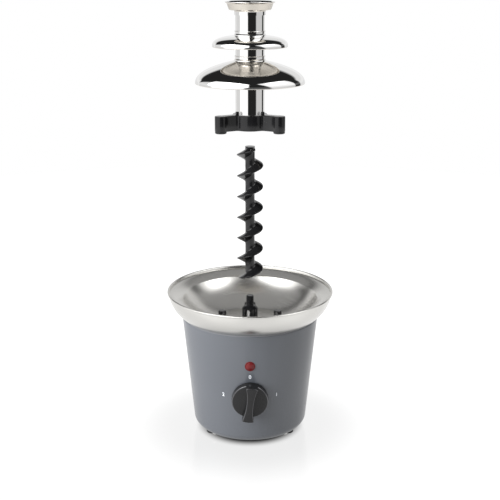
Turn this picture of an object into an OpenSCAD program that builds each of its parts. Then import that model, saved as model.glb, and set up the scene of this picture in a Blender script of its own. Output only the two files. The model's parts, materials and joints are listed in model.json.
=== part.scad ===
// Chocolate fountain: a heated bowl on a tapered housing with a geared drive,
// a lift-off auger and a lift-off tower of tiers.
// Millimetres. +Z is up, the knob faces -Y, and the origin is on the table
// below the middle of the bowl. The auger and the tower are drawn lifted off.

/* [Housing] */
// Height of the housing's top rim above the table
housing_top = 134.6; // [130:0.1:140]
// Outer radius of the wall, carried down to the table
housing_foot_r = 62.7; // [61.5:0.1:65]
// Growth of the wall's radius for each millimetre of height
housing_taper = 0.099; // [0.09:0.001:0.11]
// Thickness of the wall
housing_wall = 2.6; // [2.3:0.1:3]
// Thickness of the bottom
housing_floor = 4; // [3.6:0.1:4.6]
// Radius of the rounded bottom edge
housing_edge_r = 8; // [6:0.5:9]
// Radius of the opening in the bottom
service_r = 36; // [34:0.5:37]
// Width of the ledge that carries the bottom cover
cover_ledge = 10; // [9:0.5:11]
// Thickness of the bottom cover
cover_t = 2; // [1.6:0.1:2.4]
// Length of each cooling slot in the bottom cover
vent_len = 22; // [14:1:26]
// Width of each cooling slot
vent_w = 2.4; // [1.6:0.1:3]
// Radius of the posts that carry the chassis
post_r = 6; // [5.4:0.1:6.5]
// Distance of the posts from the axis
post_ring = 54.5; // [53.5:0.5:55]
// Thickness of the ribs between the posts and the wall
rib_t = 2; // [1.5:0.1:3]

/* [Feet] */
// Height of the rubber feet below the housing
foot_h = 4; // [3:0.5:5]
// Radius of a rubber foot
foot_r = 5.2; // [4.5:0.1:5.5]
// Distance of the feet from the axis
foot_ring = 51; // [50:0.5:51.5]
// Radius of the stem that plugs into the housing
foot_stem_r = 2.5; // [2:0.1:3]

/* [Bowl] */
// Radius of the bowl's rim
rim_r = 92.5; // [91.5:0.5:95]
// Radius of the flat part of the bowl's floor
bowl_floor_r = 50; // [49.5:0.5:51]
// Radius of the curve between floor and wall, on the outside
bowl_corner_r = 39.5; // [38:0.5:40]
// Width of the lip from the wall to the outside of the rim
rim_lip = 3; // [2.5:0.1:4]
// Depth from the rim to the floor
bowl_depth = 34.5; // [33:0.1:36]
// Thickness of the steel sheet of bowl and tiers
sheet_t = 0.8; // [0.6:0.1:1]
// Radius of the rolled bead at the rim
rim_bead_r = 1.5; // [1.2:0.1:1.7]
// Thickness of the gasket between housing and bowl, at its middle
bowl_gasket_t = 1.4; // [1.3:0.1:2]

/* [Tower pegs] */
// Distance of the pegs and of the tower's legs from the axis
leg_ring = 35.5; // [34.5:0.5:36.5]
// Radius of a peg
peg_r = 4.3; // [4:0.1:4.5]
// Height of a peg above its foot
peg_h = 10; // [8:0.5:11]
// Height of a peg's foot, on which a leg of the tower stands
peg_foot_h = 6.1; // [5.5:0.1:7]
// Radius of the threaded stud below a peg
stud_r = 2.5; // [2:0.1:2.8]
// Length of the threaded stud below the bowl's floor
stud_len = 14; // [10:0.5:16]

/* [Heater] */
// Thickness of the heater plate
heater_t = 4; // [3:0.1:5]
// Radius of the heater plate
heater_r = 48.5; // [48:0.1:49]
// Radius of the heating element's ring
element_ring = 44; // [43.8:0.1:44.4]
// Radius of the heating element's tube
element_r = 3; // [2.6:0.1:3.2]
// Height of the standoffs between chassis and heater plate
standoff_len = 17; // [15:0.5:20]
// Radius over the corners of a standoff
standoff_r = 4.8; // [4.4:0.1:5.4]
// Radius of the thermostat
thermostat_r = 8; // [6:0.5:9]
// Height of the thermostat
thermostat_h = 9; // [7:0.5:11]
// Radius of the thermal fuse
fuse_r = 2.2; // [1.8:0.1:2.8]
// Length of the thermal fuse
fuse_len = 14; // [10:0.5:18]

/* [Chassis and drive] */
// Thickness of the chassis plate
chassis_t = 2; // [1.5:0.1:3]
// Radius of the chassis plate
chassis_r = 61.5; // [60.5:0.5:63]
// Thickness of the insulation disc
insulation_t = 0.6; // [0.4:0.1:1]
// Radius of the insulation disc
insulation_r = 53; // [48:0.5:56]
// Radius of the drive shaft
shaft_r = 4; // [3.6:0.1:4.2]
// Radius of the pin that holds the drive hub
shaft_pin_r = 2.2; // [1.8:0.1:2.4]
// Length of the pin that holds the drive hub
shaft_pin_len = 11.5; // [8:0.5:12.5]
// Radius of the bearing pedestal below the bowl
pedestal_r = 13; // [11.5:0.5:14]
// Radius of the pedestal's neck
neck_r = 6; // [5.7:0.1:6.2]
// Height of the neck above the bowl's floor
neck_h = 11.6; // [11:0.1:12]
// Thickness of the gasket below the bowl's floor
pedestal_gasket_t = 2; // [1.5:0.1:3]
// Depth of the shaft seal
seal_h = 2.5; // [2:0.1:3.5]
// Module of the gears
gear_module = 1; // [0.95:0.01:1.05]
// Teeth of the large gears
gear_teeth = 42; // [40:1:44]
// Teeth of the pinions
pinion_teeth = 14; // [13:1:15]
// Pressure angle of the gears
pressure_angle = 25; // [22:1:26]
// Width of the lower gear stage
low_stage_w = 6; // [5:0.5:7]
// Width of the upper gear stage
high_stage_w = 7; // [6:0.5:8]
// Wall of the gearbox
gearbox_wall = 2; // [1.6:0.1:2.6]
// Thickness of the gearbox's floor and lid
gearbox_plate = 2.5; // [2.5:0.1:3.5]
// Radius of the idler's pin
idler_pin_r = 2; // [1.6:0.1:2.5]

/* [Motor] */
// Radius of the motor's can
motor_r = 18; // [16:0.5:19]
// Length of the motor's can
motor_len = 40; // [32:1:46]
// Wall of the motor's can
motor_wall = 1; // [0.8:0.1:1.5]
// Height of the motor's end cap
motor_cap_h = 5; // [4:0.5:7]
// Radius of the motor's shaft
motor_shaft_r = 1.6; // [1.4:0.1:2]
// Thickness of the magnets
magnet_t = 4; // [3:0.1:5]
// Gap between magnets and armature
air_gap = 0.6; // [0.5:0.1:1]

/* [Drive hub] */
// Radius of the hub's skirt
hub_r = 8.75; // [8.5:0.05:9.5]
// Wall of the hub's skirt
hub_wall = 1.9; // [1.6:0.1:2]
// Height of the hub's seat above the bowl's floor
hub_seat_h = 15.9; // [15.7:0.1:16.6]
// Radius of the seat
hub_seat_r = 5.5; // [5.3:0.1:6]
// Radius of the spindle
spindle_r = 4.1; // [3.9:0.05:4.2]
// Height of the spindle above the seat
spindle_h = 12; // [10:0.5:14]
// Depth of the flat on the spindle
spindle_flat = 0.8; // [0.6:0.1:1.2]
// Width of the arched openings in the skirt
arch_w = 6; // [5:0.1:6.5]

/* [Auger] */
// Length of the auger
auger_len = 146; // [136:0.5:150]
// Radius of the auger's shaft
auger_shaft_r = 5.2; // [5.1:0.05:5.6]
// Radius of the flight
flight_r = 14.4; // [13:0.1:14.5]
// Rise of the flight in one turn
flight_pitch = 23.24; // [20:0.1:26]
// Thickness of the flight at its root
flight_root = 8; // [5:0.1:9]
// Thickness of the flight at its edge
flight_edge = 1.8; // [1.2:0.1:2.5]
// Direction in which the flight starts at the bottom
flight_start = 222; // [0:1:359]
// Height that the auger is lifted off its seat
auger_lift = 35; // [20:1:60]

/* [Tower] */
// Outer radius of the tower's tube
tube_r = 15.4; // [15.3:0.05:16]
// Wall of the tube
tube_wall = 0.6; // [0.4:0.05:0.6]
// Height of the tower from its legs to the rim of the crown
tower_h = 135; // [129:0.5:144]
// Height of the tower's foot
tower_foot_h = 18.5; // [16.5:0.5:20]
// Clearance of the foot's arms above the pegs' feet
arm_clear = 2; // [1.5:0.1:3.5]
// Width of an arm
arm_w = 10; // [8:0.5:12]
// Radius of a leg
leg_r = 6.4; // [6.2:0.1:7]
// Outer radius of the foot's hub
foot_hub_r = 18.5; // [18:0.1:20]
// Height of the ledge that carries the tube, above the hub's bottom
tube_ledge = 3.5; // [3:0.1:5]
// Radius of the lower tier
lower_r = 58.2; // [50:0.1:62]
// Height of the lower tier's edge above the legs
lower_z = 50.7; // [46:0.1:54]
// Height of the lower tier's dome
lower_h = 26.4; // [22:0.1:28]
// Roundness of the lower tier's top: 2 for an ellipse, less for a cone
lower_round = 1.2; // [1.1:0.1:2.6]
// Bluntness of the lower tier's edge: 2 for an ellipse, more for an upright edge
lower_blunt = 2.3; // [2:0.1:3.2]
// Radius of the middle tier
middle_r = 39.8; // [34:0.1:44]
// Height of the middle tier's edge above the legs
middle_z = 88.7; // [86:0.1:94]
// Height of the middle tier's dome
middle_h = 12; // [10:0.1:15]
// Roundness of the middle tier's top
middle_round = 2.4; // [1.1:0.1:2.6]
// Bluntness of the middle tier's edge
middle_blunt = 3; // [2:0.1:3.2]
// Height of a tier's collar
collar_h = 5.2; // [4:0.1:6]
// Wall of a tier's collar
collar_wall = 1; // [0.8:0.1:1.6]
// Radius of the crown's rim
crown_r = 26.2; // [25:0.1:29]
// Radius of the crown at its bottom edge
crown_low_r = 22.4; // [21.5:0.1:24]
// Depth of the crown outside
crown_h = 8.5; // [7.5:0.1:10]
// Height that the tower is lifted off the bowl
tower_lift = 207.5; // [190:0.5:240]

/* [Knob] */
// Height of the knob's middle above the table
knob_z = 61.5; // [58:0.5:64]
// Radius of the knob
knob_r = 20; // [18:0.5:21]
// Thickness of the knob's disc
knob_disc_t = 7.5; // [6.5:0.1:9]
// Height of the grip above the disc
grip_h = 9; // [7:0.1:10]
// Length of the grip past the disc, at each end
grip_over = 1; // [0.5:0.1:2]
// Width of the grip at its ends
grip_end_w = 12.8; // [11:0.1:14]
// Width of the grip at its waist
grip_waist_w = 7.4; // [6.5:0.1:9]
// Turn of the grip at rest, clockwise from upright
grip_turn = 6.5; // [0:0.5:10]
// Gap between the wall and the knob
knob_gap = 0.8; // [0.5:0.1:1.5]
// Size of the square switch body
switch_w = 26; // [22:0.5:27]
// Depth of the switch body
switch_d = 17; // [14:0.5:20]
// Radius of the switch's neck
switch_neck_r = 4.5; // [4.3:0.1:5]
// Radius of the switch's shaft
switch_shaft_r = 3; // [2.5:0.1:3.2]

/* [Lamp] */
// Height of the lamp above the table
lamp_z = 100.2; // [97:0.1:103]
// Radius of the lamp's lens
lens_r = 5.6; // [5.2:0.1:6.5]
// Height of the lens above the wall
lens_h = 2; // [1.5:0.1:3]
// Radius of the lens's stem
lens_stem_r = 4.3; // [3.8:0.1:4.6]
// Depth of the lamp's holder
holder_d = 13; // [10:0.5:16]

/* [Cord gland] */
// Height of the gland above the table
gland_z = 30; // [27:0.5:34]
// Radius of the gland's bore
gland_bore_r = 3.6; // [3:0.1:4]
// Radius of the gland's body
gland_body_r = 6; // [5.6:0.1:6.5]
// Radius of the gland's flange
gland_flange_r = 8.5; // [8:0.1:9.5]
// Thickness of the gland's flange
gland_flange_t = 2.5; // [2:0.1:3.5]
// Width of the terminal block
block_w = 30; // [24:1:34]
// Depth of the terminal block
block_d = 14; // [12:0.5:16]
// Height of the terminal block
block_h = 13; // [10:0.5:16]

/* [Screws] */
// Radius of the small screws
small_screw_r = 1.5; // [1.3:0.1:1.6]
// Radius of the heads of the small screws
small_head_r = 2.8; // [2.5:0.1:3]
// Height of the heads of the small screws
small_head_h = 1.8; // [1.5:0.1:2]
// Radius of the long screws
long_screw_r = 2; // [1.8:0.1:2.2]
// Radius of the heads of the long screws
long_head_r = 3.6; // [3.2:0.1:3.8]
// Height of the heads of the long screws
long_head_h = 2.6; // [2.2:0.1:2.8]
// Width of the tabs that wires are pushed onto
tab_w = 3; // [2.4:0.1:3.1]
// Thickness of the tabs
tab_t = 0.8; // [0.5:0.1:0.8]
// Length of the tabs
tab_len = 6; // [5:0.5:7]

/* [Fits] */
// Radial clearance of shafts that turn
run_fit = 0.05; // [0.03:0.01:0.08]
// Radial clearance of parts that are pressed or screwed together
press_gap = 0.02; // [0.01:0.01:0.04]
// Radial clearance of parts that lift off
lift_fit = 0.3; // [0.25:0.05:0.4]
// Clearance of screws and plugs in their holes
hole_fit = 0.2; // [0.15:0.05:0.3]
// Clearance below parts that are set down
seat_gap = 0.2; // [0.15:0.05:0.3]
// Clearance between gears and their box
gear_clear = 1.6; // [1.4:0.1:2]

/* [Hidden] */
$fn = 96;

// Colours of the pieces
slate = "#75787e";
steel = "#c8c8c5";
chrome = "#dcdcde";
black = "#1c1c1e";
rubber = "#26262a";
white = "#e4e2dc";
brass = "#b99b52";
copper = "#b5713f";
lens_red = "#a3211c";

// Directions of what stands around the axis
leg_angles = [90, 210, 330];
post_angles = [45, 135, 225, 315];
cover_angles = [30, 150, 270];
arch_angles = [10, 130, 250];

// Small amount that a cut runs past a face
past = 1;

// Gap between the end of a shaft and the bottom of its hole
end_gap = 0.3;

// The tapered wall
wall_tilt = atan(housing_taper);
wall_slant = sqrt(1 + housing_taper * housing_taper);
function wall_r(z) = housing_foot_r + housing_taper * z;
housing_inside = foot_h + housing_floor;

// The bowl sits on its gasket, at the middle of the rim's width
rim_mid_r = wall_r(housing_top) - housing_wall / 2;
bowl_wall_r = rim_r - rim_lip;
bowl_curve_r = min(bowl_corner_r, bowl_wall_r - bowl_floor_r);
bowl_arc_z = housing_top + bowl_gasket_t + sqrt(pow(bowl_curve_r, 2) - pow(rim_mid_r - bowl_floor_r, 2));
bowl_under = bowl_arc_z - bowl_curve_r;
floor_z = bowl_under + sheet_t;
rim_z = floor_z + bowl_depth;

// The bowl's wall runs from the curve to the rim, upright or leaning out
wall_from = [bowl_floor_r, bowl_arc_z];
wall_reach = [bowl_wall_r, rim_z] - wall_from;
bowl_lean = acos(bowl_curve_r / norm(wall_reach)) - atan2(wall_reach[1], wall_reach[0]);
bowl_out = [cos(bowl_lean), -sin(bowl_lean)];

// The stack below the bowl
heater_z = bowl_under - heater_t;
insulation_z = heater_z - standoff_len - insulation_t;
chassis_z = insulation_z - chassis_t;
lid_z = chassis_z - gearbox_plate;
stage_gap = 0.2 * low_stage_w;
boss_h = gearbox_wall;
low_stage_z = boss_h + stage_gap / 2;
high_stage_z = low_stage_z + low_stage_w + stage_gap;
cavity_h = high_stage_z + high_stage_w + gear_clear + boss_h;
cavity_z = lid_z - cavity_h;
tray_z = cavity_z - gearbox_plate;
pin_depth = 0.6 * gearbox_plate;
shaft_room_r = shaft_r + 2;

// The gear train, from the shaft on the axis to the motor
gear_r = gear_module * gear_teeth / 2;
pinion_r = gear_module * pinion_teeth / 2;
axle_gap = gear_r + pinion_r;
addendum = 0.9 * gear_module;
dedendum = 1.15 * gear_module;
backlash = 0.12 * gear_module;
idler_at = [0, axle_gap];
motor_turn = 225;
motor_at = idler_at + axle_gap * [cos(motor_turn), sin(motor_turn)];
function mesh_phase(toward, teeth1, phase1, teeth2) =
    toward + 180 + 180 / teeth2 - (phase1 - toward) * teeth1 / teeth2;
idler_pinion_phase = mesh_phase(90, gear_teeth, 0, pinion_teeth);
motor_pinion_phase = mesh_phase(motor_turn, gear_teeth, 0, pinion_teeth);
gear_cavity_r = gear_r + addendum + gear_clear;
pinion_cavity_r = pinion_r + addendum + gear_clear;
ear_r = 3 * small_screw_r;
ear_out = gear_cavity_r + gearbox_wall + 2 * small_screw_r;
ears = [
    [ear_out, axle_gap / 2],
    [0, -ear_out],
    [0, axle_gap + ear_out],
    [ear_out * cos(155), axle_gap + ear_out * sin(155)]
];

// Places of the screws
long_head_room = 1.3 * long_head_h;
cover_ring = service_r + cover_ledge / 2;
motor_screw_ring = motor_r - 7 * motor_wall;

// Pads inside the wall give the switch, lamp and gland a flat seat
pad_t = 2.4;
pad_sink = 0.85 * housing_wall;
switch_pad_r = 16;
lamp_pad_r = 8.2;
gland_pad_r = 11;
wall_seat = -(housing_wall + pad_t);
holder_r = lens_stem_r + 2;

// The drive hub covers the neck of the pedestal
hub_clear = 0.8;
seal_wall = 1.2;
neck_top = floor_z + neck_h;
hub_bottom = floor_z + hub_clear;
hub_ceiling = neck_top + hub_clear;
hub_seat = floor_z + hub_seat_h;
hub_cone_h = 2.6;
spindle_top = hub_seat + spindle_h;

// Lifted places of the auger and the tower
auger_z = hub_seat + seat_gap + auger_lift;
tower_z = floor_z + peg_foot_h + seat_gap + tower_lift;
tube_bottom = arm_clear + tube_ledge;
crown_z = tower_h - crown_h;

// Copies around the axis
module around(angles, ring) {
    for (a = angles) rotate([0, 0, a]) translate([ring, 0, 0]) children();
}

// Puts children on the outside of the wall, with +Z pointing out
module on_wall(z, turn = 0) {
    rotate([0, 0, turn]) translate([0, -wall_r(z), z]) rotate([90 + wall_tilt, 0, 0]) children();
}

module ring(r_out, r_in, h) {
    difference() {
        cylinder(r = r_out, h = h);
        translate([0, 0, -past]) cylinder(r = r_in, h = h + 2 * past);
    }
}

// Screw standing on its head, with the head below z = 0
module screw(shank_r, head_r, head_h, length) {
    cylinder(r = shank_r, h = length);
    difference() {
        translate([0, 0, -head_h]) cylinder(r = head_r, h = head_h);
        translate([0, 0, -head_h - past]) rotate([0, 0, 45])
            cylinder(r = head_r * 0.55, h = past + head_h * 0.5, $fn = 4);
    }
}

// Tab for a push-on terminal, below z = 0 and sunk a little into what carries it
module spade_tab() {
    translate([-tab_t / 2, -tab_w / 2, -tab_len]) cube([tab_t, tab_w, tab_len + past]);
}

// Half section of the housing's outside, moved inwards by inset
module shell_section(inset, bottom, top) {
    edge = max(housing_edge_r - inset, 1);
    edge_z = bottom + edge;
    edge_mid = wall_r(edge_z) - (inset + edge) * wall_slant;
    polygon([
        [0, bottom],
        [edge_mid, bottom],
        [edge_mid + edge * cos(wall_tilt), edge_z - edge * sin(wall_tilt)],
        [wall_r(top) - inset * wall_slant, top],
        [0, top]
    ]);
    translate([edge_mid, edge_z]) circle(r = edge);
}

// Flat pad on the inside of the wall
module wall_pad(r) {
    translate([0, 0, wall_seat]) cylinder(r = r, h = housing_wall + pad_t - pad_sink);
}

module post_rib() {
    into_wall = housing_wall / 2;
    rotate([90, 0, 0]) translate([0, 0, -rib_t / 2]) linear_extrude(rib_t)
        polygon([
            [post_ring, housing_inside],
            [wall_r(housing_inside) - 2 * into_wall, housing_inside],
            [wall_r(chassis_z) - into_wall, chassis_z],
            [post_ring, chassis_z]
        ]);
}

module housing() {
    boss_r = 4;
    boss_top = 5;
    color(slate) difference() {
        union() {
            difference() {
                rotate_extrude() shell_section(0, foot_h, housing_top);
                rotate_extrude() shell_section(housing_wall, housing_inside, housing_top + past);
            }
            around(post_angles, post_ring)
                translate([0, 0, foot_h + housing_floor / 2])
                    cylinder(r = post_r, h = chassis_z - foot_h - housing_floor / 2);
            for (a = post_angles) rotate([0, 0, a]) post_rib();
            around(cover_angles, cover_ring) translate([0, 0, housing_inside - past])
                cylinder(r = boss_r, h = boss_top + past);
            on_wall(knob_z) wall_pad(switch_pad_r);
            on_wall(lamp_z) wall_pad(lamp_pad_r);
            on_wall(gland_z, 180) wall_pad(gland_pad_r);
        }
        translate([0, 0, foot_h - past]) cylinder(r = service_r, h = housing_floor + 2 * past);
        translate([0, 0, foot_h - past])
            cylinder(r = service_r + cover_ledge, h = cover_t + past);
        around(cover_angles, cover_ring) translate([0, 0, foot_h])
            cylinder(r = small_screw_r + press_gap, h = housing_floor + boss_top - 1);
        around(leg_angles, foot_ring) translate([0, 0, foot_h - past])
            cylinder(r = foot_stem_r + press_gap, h = housing_floor + 2 * past);
        around(post_angles, post_ring) {
            translate([0, 0, foot_h - past]) cylinder(r = long_head_r + hole_fit, h = long_head_room + past);
            translate([0, 0, foot_h]) cylinder(r = long_screw_r + hole_fit, h = chassis_z);
        }
        on_wall(knob_z) translate([0, 0, wall_seat - past])
            cylinder(r = switch_neck_r + hole_fit, h = past - wall_seat + 2 * past);
        on_wall(lamp_z) translate([0, 0, wall_seat - past])
            cylinder(r = lens_stem_r + hole_fit, h = past - wall_seat + 2 * past);
        on_wall(gland_z, 180) translate([0, 0, wall_seat - past])
            cylinder(r = gland_body_r + hole_fit, h = past - wall_seat + 2 * past);
    }
}

module bottom_cover() {
    slots = 5;
    slot_step = 2.4 * vent_w;
    color(slate) difference() {
        translate([0, 0, foot_h])
            cylinder(r = service_r + cover_ledge - hole_fit, h = cover_t);
        around(cover_angles, cover_ring) translate([0, 0, foot_h - past])
            cylinder(r = small_screw_r + hole_fit, h = cover_t + 2 * past);
        for (i = [0 : slots - 1])
            translate([-vent_len / 2, -service_r / 2 + (i - slots / 2) * slot_step, foot_h - past])
                cube([vent_len, vent_w, cover_t + 2 * past]);
    }
}

module cover_screws() {
    color(steel) around(cover_angles, cover_ring) translate([0, 0, foot_h])
        screw(small_screw_r, small_head_r, small_head_h, housing_floor + 3);
}

module rubber_feet() {
    barb_r = foot_stem_r + 1;
    barb_h = 2;
    color(rubber) around(leg_angles, foot_ring) {
        rotate_extrude() polygon([
            [0, 0], [foot_r - 1, 0], [foot_r, 1], [foot_r, foot_h], [foot_stem_r, foot_h],
            [foot_stem_r, housing_inside], [barb_r, housing_inside],
            [foot_stem_r, housing_inside + barb_h], [0, housing_inside + barb_h]
        ]);
    }
}

module chassis_screws() {
    color(steel) around(post_angles, post_ring) translate([0, 0, foot_h + long_head_room])
        screw(long_screw_r, long_head_r, long_head_h, insulation_z - foot_h - long_head_room);
}

// Half section of the bowl's outside, moved inwards by inset and run past the rim
module bowl_section(inset) {
    curve_r = bowl_curve_r - inset;
    far = 2 * bowl_curve_r;
    wall_top = [bowl_wall_r, rim_z] - inset * bowl_out + past * [-bowl_out[1], bowl_out[0]];
    top = max(wall_top[1], wall_from[1]);
    polygon([
        [0, bowl_under + inset], [bowl_floor_r, bowl_under + inset], wall_from + curve_r * bowl_out,
        wall_top, [bowl_floor_r, top], [0, top]
    ]);
    translate(wall_from) intersection() {
        circle(r = curve_r);
        polygon([[0, 0], [0, -far], [far, -far], far * bowl_out]);
    }
}

module bowl() {
    color(steel) difference() {
        rotate_extrude() {
            difference() {
                intersection() {
                    bowl_section(0);
                    square([rim_r, rim_z]);
                }
                bowl_section(sheet_t);
            }
            translate([bowl_wall_r - sheet_t, rim_z - sheet_t])
                square([rim_lip - rim_bead_r + sheet_t, sheet_t]);
            translate([rim_r - rim_bead_r, rim_z - rim_bead_r]) circle(r = rim_bead_r);
        }
        translate([0, 0, bowl_under - past])
            cylinder(r = neck_r + hole_fit, h = sheet_t + 2 * past);
        around(leg_angles, leg_ring) translate([0, 0, bowl_under - past])
            cylinder(r = stud_r + hole_fit, h = sheet_t + 2 * past);
    }
}

module bowl_gasket() {
    width = housing_wall - 0.6;
    height = 4 * bowl_gasket_t;
    color(rubber) rotate_extrude() difference() {
        translate([rim_mid_r - width / 2, housing_top]) square([width, height]);
        translate(wall_from) circle(r = bowl_curve_r + press_gap, $fn = 192);
    }
}

module tower_pegs() {
    chamfer = 0.8;
    foot_top = floor_z + peg_foot_h;
    peg_top = foot_top + peg_h;
    color(black) around(leg_angles, leg_ring) rotate_extrude() polygon([
        [0, bowl_under - stud_len], [stud_r, bowl_under - stud_len], [stud_r, floor_z],
        [leg_r, floor_z], [leg_r, foot_top], [peg_r, foot_top],
        [peg_r, peg_top - chamfer], [peg_r - chamfer, peg_top], [0, peg_top]
    ]);
}

module standoffs() {
    color(steel) around(leg_angles, leg_ring) difference() {
        translate([0, 0, insulation_z + insulation_t])
            cylinder(r = standoff_r, h = standoff_len, $fn = 6);
        translate([0, 0, insulation_z]) cylinder(r = stud_r + press_gap, h = 2 * standoff_len);
    }
}

module standoff_screws() {
    gap_to_stud = 1;
    color(steel) around(leg_angles, leg_ring) translate([0, 0, chassis_z])
        screw(stud_r, long_head_r, small_head_h, bowl_under - stud_len - gap_to_stud - chassis_z);
}

module bearing_pedestal() {
    shoulder = bowl_under - pedestal_gasket_t;
    base_z = insulation_z + insulation_t;
    color("silver") difference() {
        union() {
            translate([0, 0, base_z]) cylinder(r = pedestal_r, h = shoulder - base_z);
            translate([0, 0, base_z]) cylinder(r = neck_r, h = neck_top - base_z);
        }
        translate([0, 0, base_z - past]) cylinder(r = shaft_r + run_fit, h = neck_top);
        translate([0, 0, neck_top - seal_h]) cylinder(r = shaft_r + seal_wall, h = seal_h + past);
    }
}

module pedestal_gasket() {
    color("#b33a2e") translate([0, 0, bowl_under - pedestal_gasket_t])
        ring(pedestal_r - 0.5, neck_r + press_gap, pedestal_gasket_t);
}

module shaft_seal() {
    color("#b33a2e") translate([0, 0, neck_top - seal_h])
        ring(shaft_r + seal_wall - press_gap, shaft_r + run_fit, seal_h);
}

module heater_plate() {
    color("silver") difference() {
        translate([0, 0, heater_z]) cylinder(r = heater_r, h = heater_t);
        translate([0, 0, heater_z - past])
            cylinder(r = pedestal_r + 2 * hole_fit, h = heater_t + 2 * past);
        around(leg_angles, leg_ring) translate([0, 0, heater_z - past])
            cylinder(r = stud_r + hole_fit, h = heater_t + 2 * past);
    }
}

// Distance of the thermostat and the fuse from the axis, between the element and the pedestal
sensor_ring = (element_ring + pedestal_r) / 2;

// The element's tube is pressed flat where it is brazed to the plate
element_drop = 0.75 * element_r;
element_turn = 300;
element_from = 300;

module heater_element() {
    color("#8d8d90") rotate([0, 0, element_from]) rotate_extrude(angle = element_turn)
        intersection() {
            translate([element_ring, heater_z - element_drop]) circle(r = element_r, $fn = 48);
            translate([0, heater_z - 3 * element_r]) square([2 * element_ring, 3 * element_r]);
        }
}

// Cold pins stand beside the two ends of the element
module heater_terminals() {
    pin_r = 0.5 * element_r;
    pin_len = 10;
    beside = 2;
    color(white) for (end = [element_from - beside, element_from + element_turn + beside])
        rotate([0, 0, end]) translate([element_ring, 0, heater_z - pin_len]) {
            cylinder(r = pin_r, h = pin_len);
            spade_tab();
        }
}

module thermostat() {
    color(black) rotate([0, 0, 150]) translate([sensor_ring, 0, heater_z - thermostat_h]) {
        cylinder(r = thermostat_r, h = thermostat_h);
        for (side = [-1, 1]) translate([0, side * thermostat_r / 2, 0]) spade_tab();
    }
}

module thermal_fuse() {
    strap_t = 0.6;
    strap_w = 4;
    strap_half = fuse_r + 1;
    strap_h = 2 * fuse_r + strap_t;
    color(white) rotate([0, 0, 30]) translate([sensor_ring, 0, heater_z]) {
        translate([0, fuse_len / 2, -fuse_r]) rotate([90, 0, 0]) cylinder(r = fuse_r, h = fuse_len);
        translate([-strap_half, -strap_w / 2, -strap_h]) cube([2 * strap_half, strap_w, strap_t]);
        for (side = [-strap_half, strap_half - strap_t])
            translate([side, -strap_w / 2, -strap_h]) cube([strap_t, strap_w, strap_h]);
    }
}

module insulation_disc() {
    color("#c9bfa0") difference() {
        translate([0, 0, insulation_z]) cylinder(r = insulation_r, h = insulation_t);
        translate([0, 0, insulation_z - past]) cylinder(r = shaft_room_r, h = insulation_t + 2 * past);
        around(leg_angles, leg_ring) translate([0, 0, insulation_z - past])
            cylinder(r = stud_r + hole_fit, h = insulation_t + 2 * past);
        around(post_angles, post_ring) translate([0, 0, insulation_z - past])
            cylinder(r = post_r, h = insulation_t + 2 * past);
    }
}

// The plate's edge stays clear of the lamp's holder where the plate sits low
module lamp_room() {
    gap = 1;
    on_wall(lamp_z) translate([0, 0, wall_seat - holder_d - gap])
        cylinder(r = holder_r + gap, h = holder_d + gap);
}

module chassis_plate() {
    color(steel) difference() {
        translate([0, 0, chassis_z]) cylinder(r = chassis_r, h = chassis_t);
        translate([0, 0, chassis_z - past]) cylinder(r = shaft_room_r, h = chassis_t + 2 * past);
        around(leg_angles, leg_ring) translate([0, 0, chassis_z - past])
            cylinder(r = stud_r + hole_fit, h = chassis_t + 2 * past);
        around(post_angles, post_ring) translate([0, 0, chassis_z - past])
            cylinder(r = long_screw_r + press_gap, h = chassis_t + 2 * past);
        for (e = ears) translate([e[0], e[1], chassis_z - past])
            cylinder(r = small_screw_r + press_gap, h = chassis_t + 2 * past);
        lamp_room();
    }
}

// Outline of the gearbox, around the three axles
module gearbox_outline(extra) {
    circle(r = gear_cavity_r + extra);
    translate(idler_at) circle(r = gear_cavity_r + extra);
    translate(motor_at) circle(r = pinion_cavity_r + extra);
    translate([-gear_cavity_r - extra, 0]) square([2 * (gear_cavity_r + extra), axle_gap]);
}

module gearbox_case_outline() {
    gearbox_outline(gearbox_wall);
    for (e = ears) translate(e) circle(r = ear_r);
}

module ear_holes(z, h) {
    for (e = ears) translate([e[0], e[1], z]) cylinder(r = small_screw_r + hole_fit, h = h);
}

// The lid has room for the heads of the standoff screws
module gearbox_lid() {
    color("#d9d6cc") difference() {
        union() {
            translate([0, 0, lid_z]) linear_extrude(gearbox_plate) gearbox_case_outline();
            translate([idler_at[0], idler_at[1], lid_z - boss_h])
                cylinder(r = 2 * idler_pin_r, h = boss_h + past);
        }
        translate([0, 0, lid_z - past]) cylinder(r = shaft_room_r, h = gearbox_plate + 2 * past);
        translate([idler_at[0], idler_at[1], lid_z - boss_h - past])
            cylinder(r = idler_pin_r + press_gap, h = boss_h + past + pin_depth);
        around(leg_angles, leg_ring) translate([0, 0, lid_z - past])
            cylinder(r = long_head_r + 2 * hole_fit, h = gearbox_plate + 2 * past);
        ear_holes(lid_z - past, gearbox_plate + 2 * past);
    }
}

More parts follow.
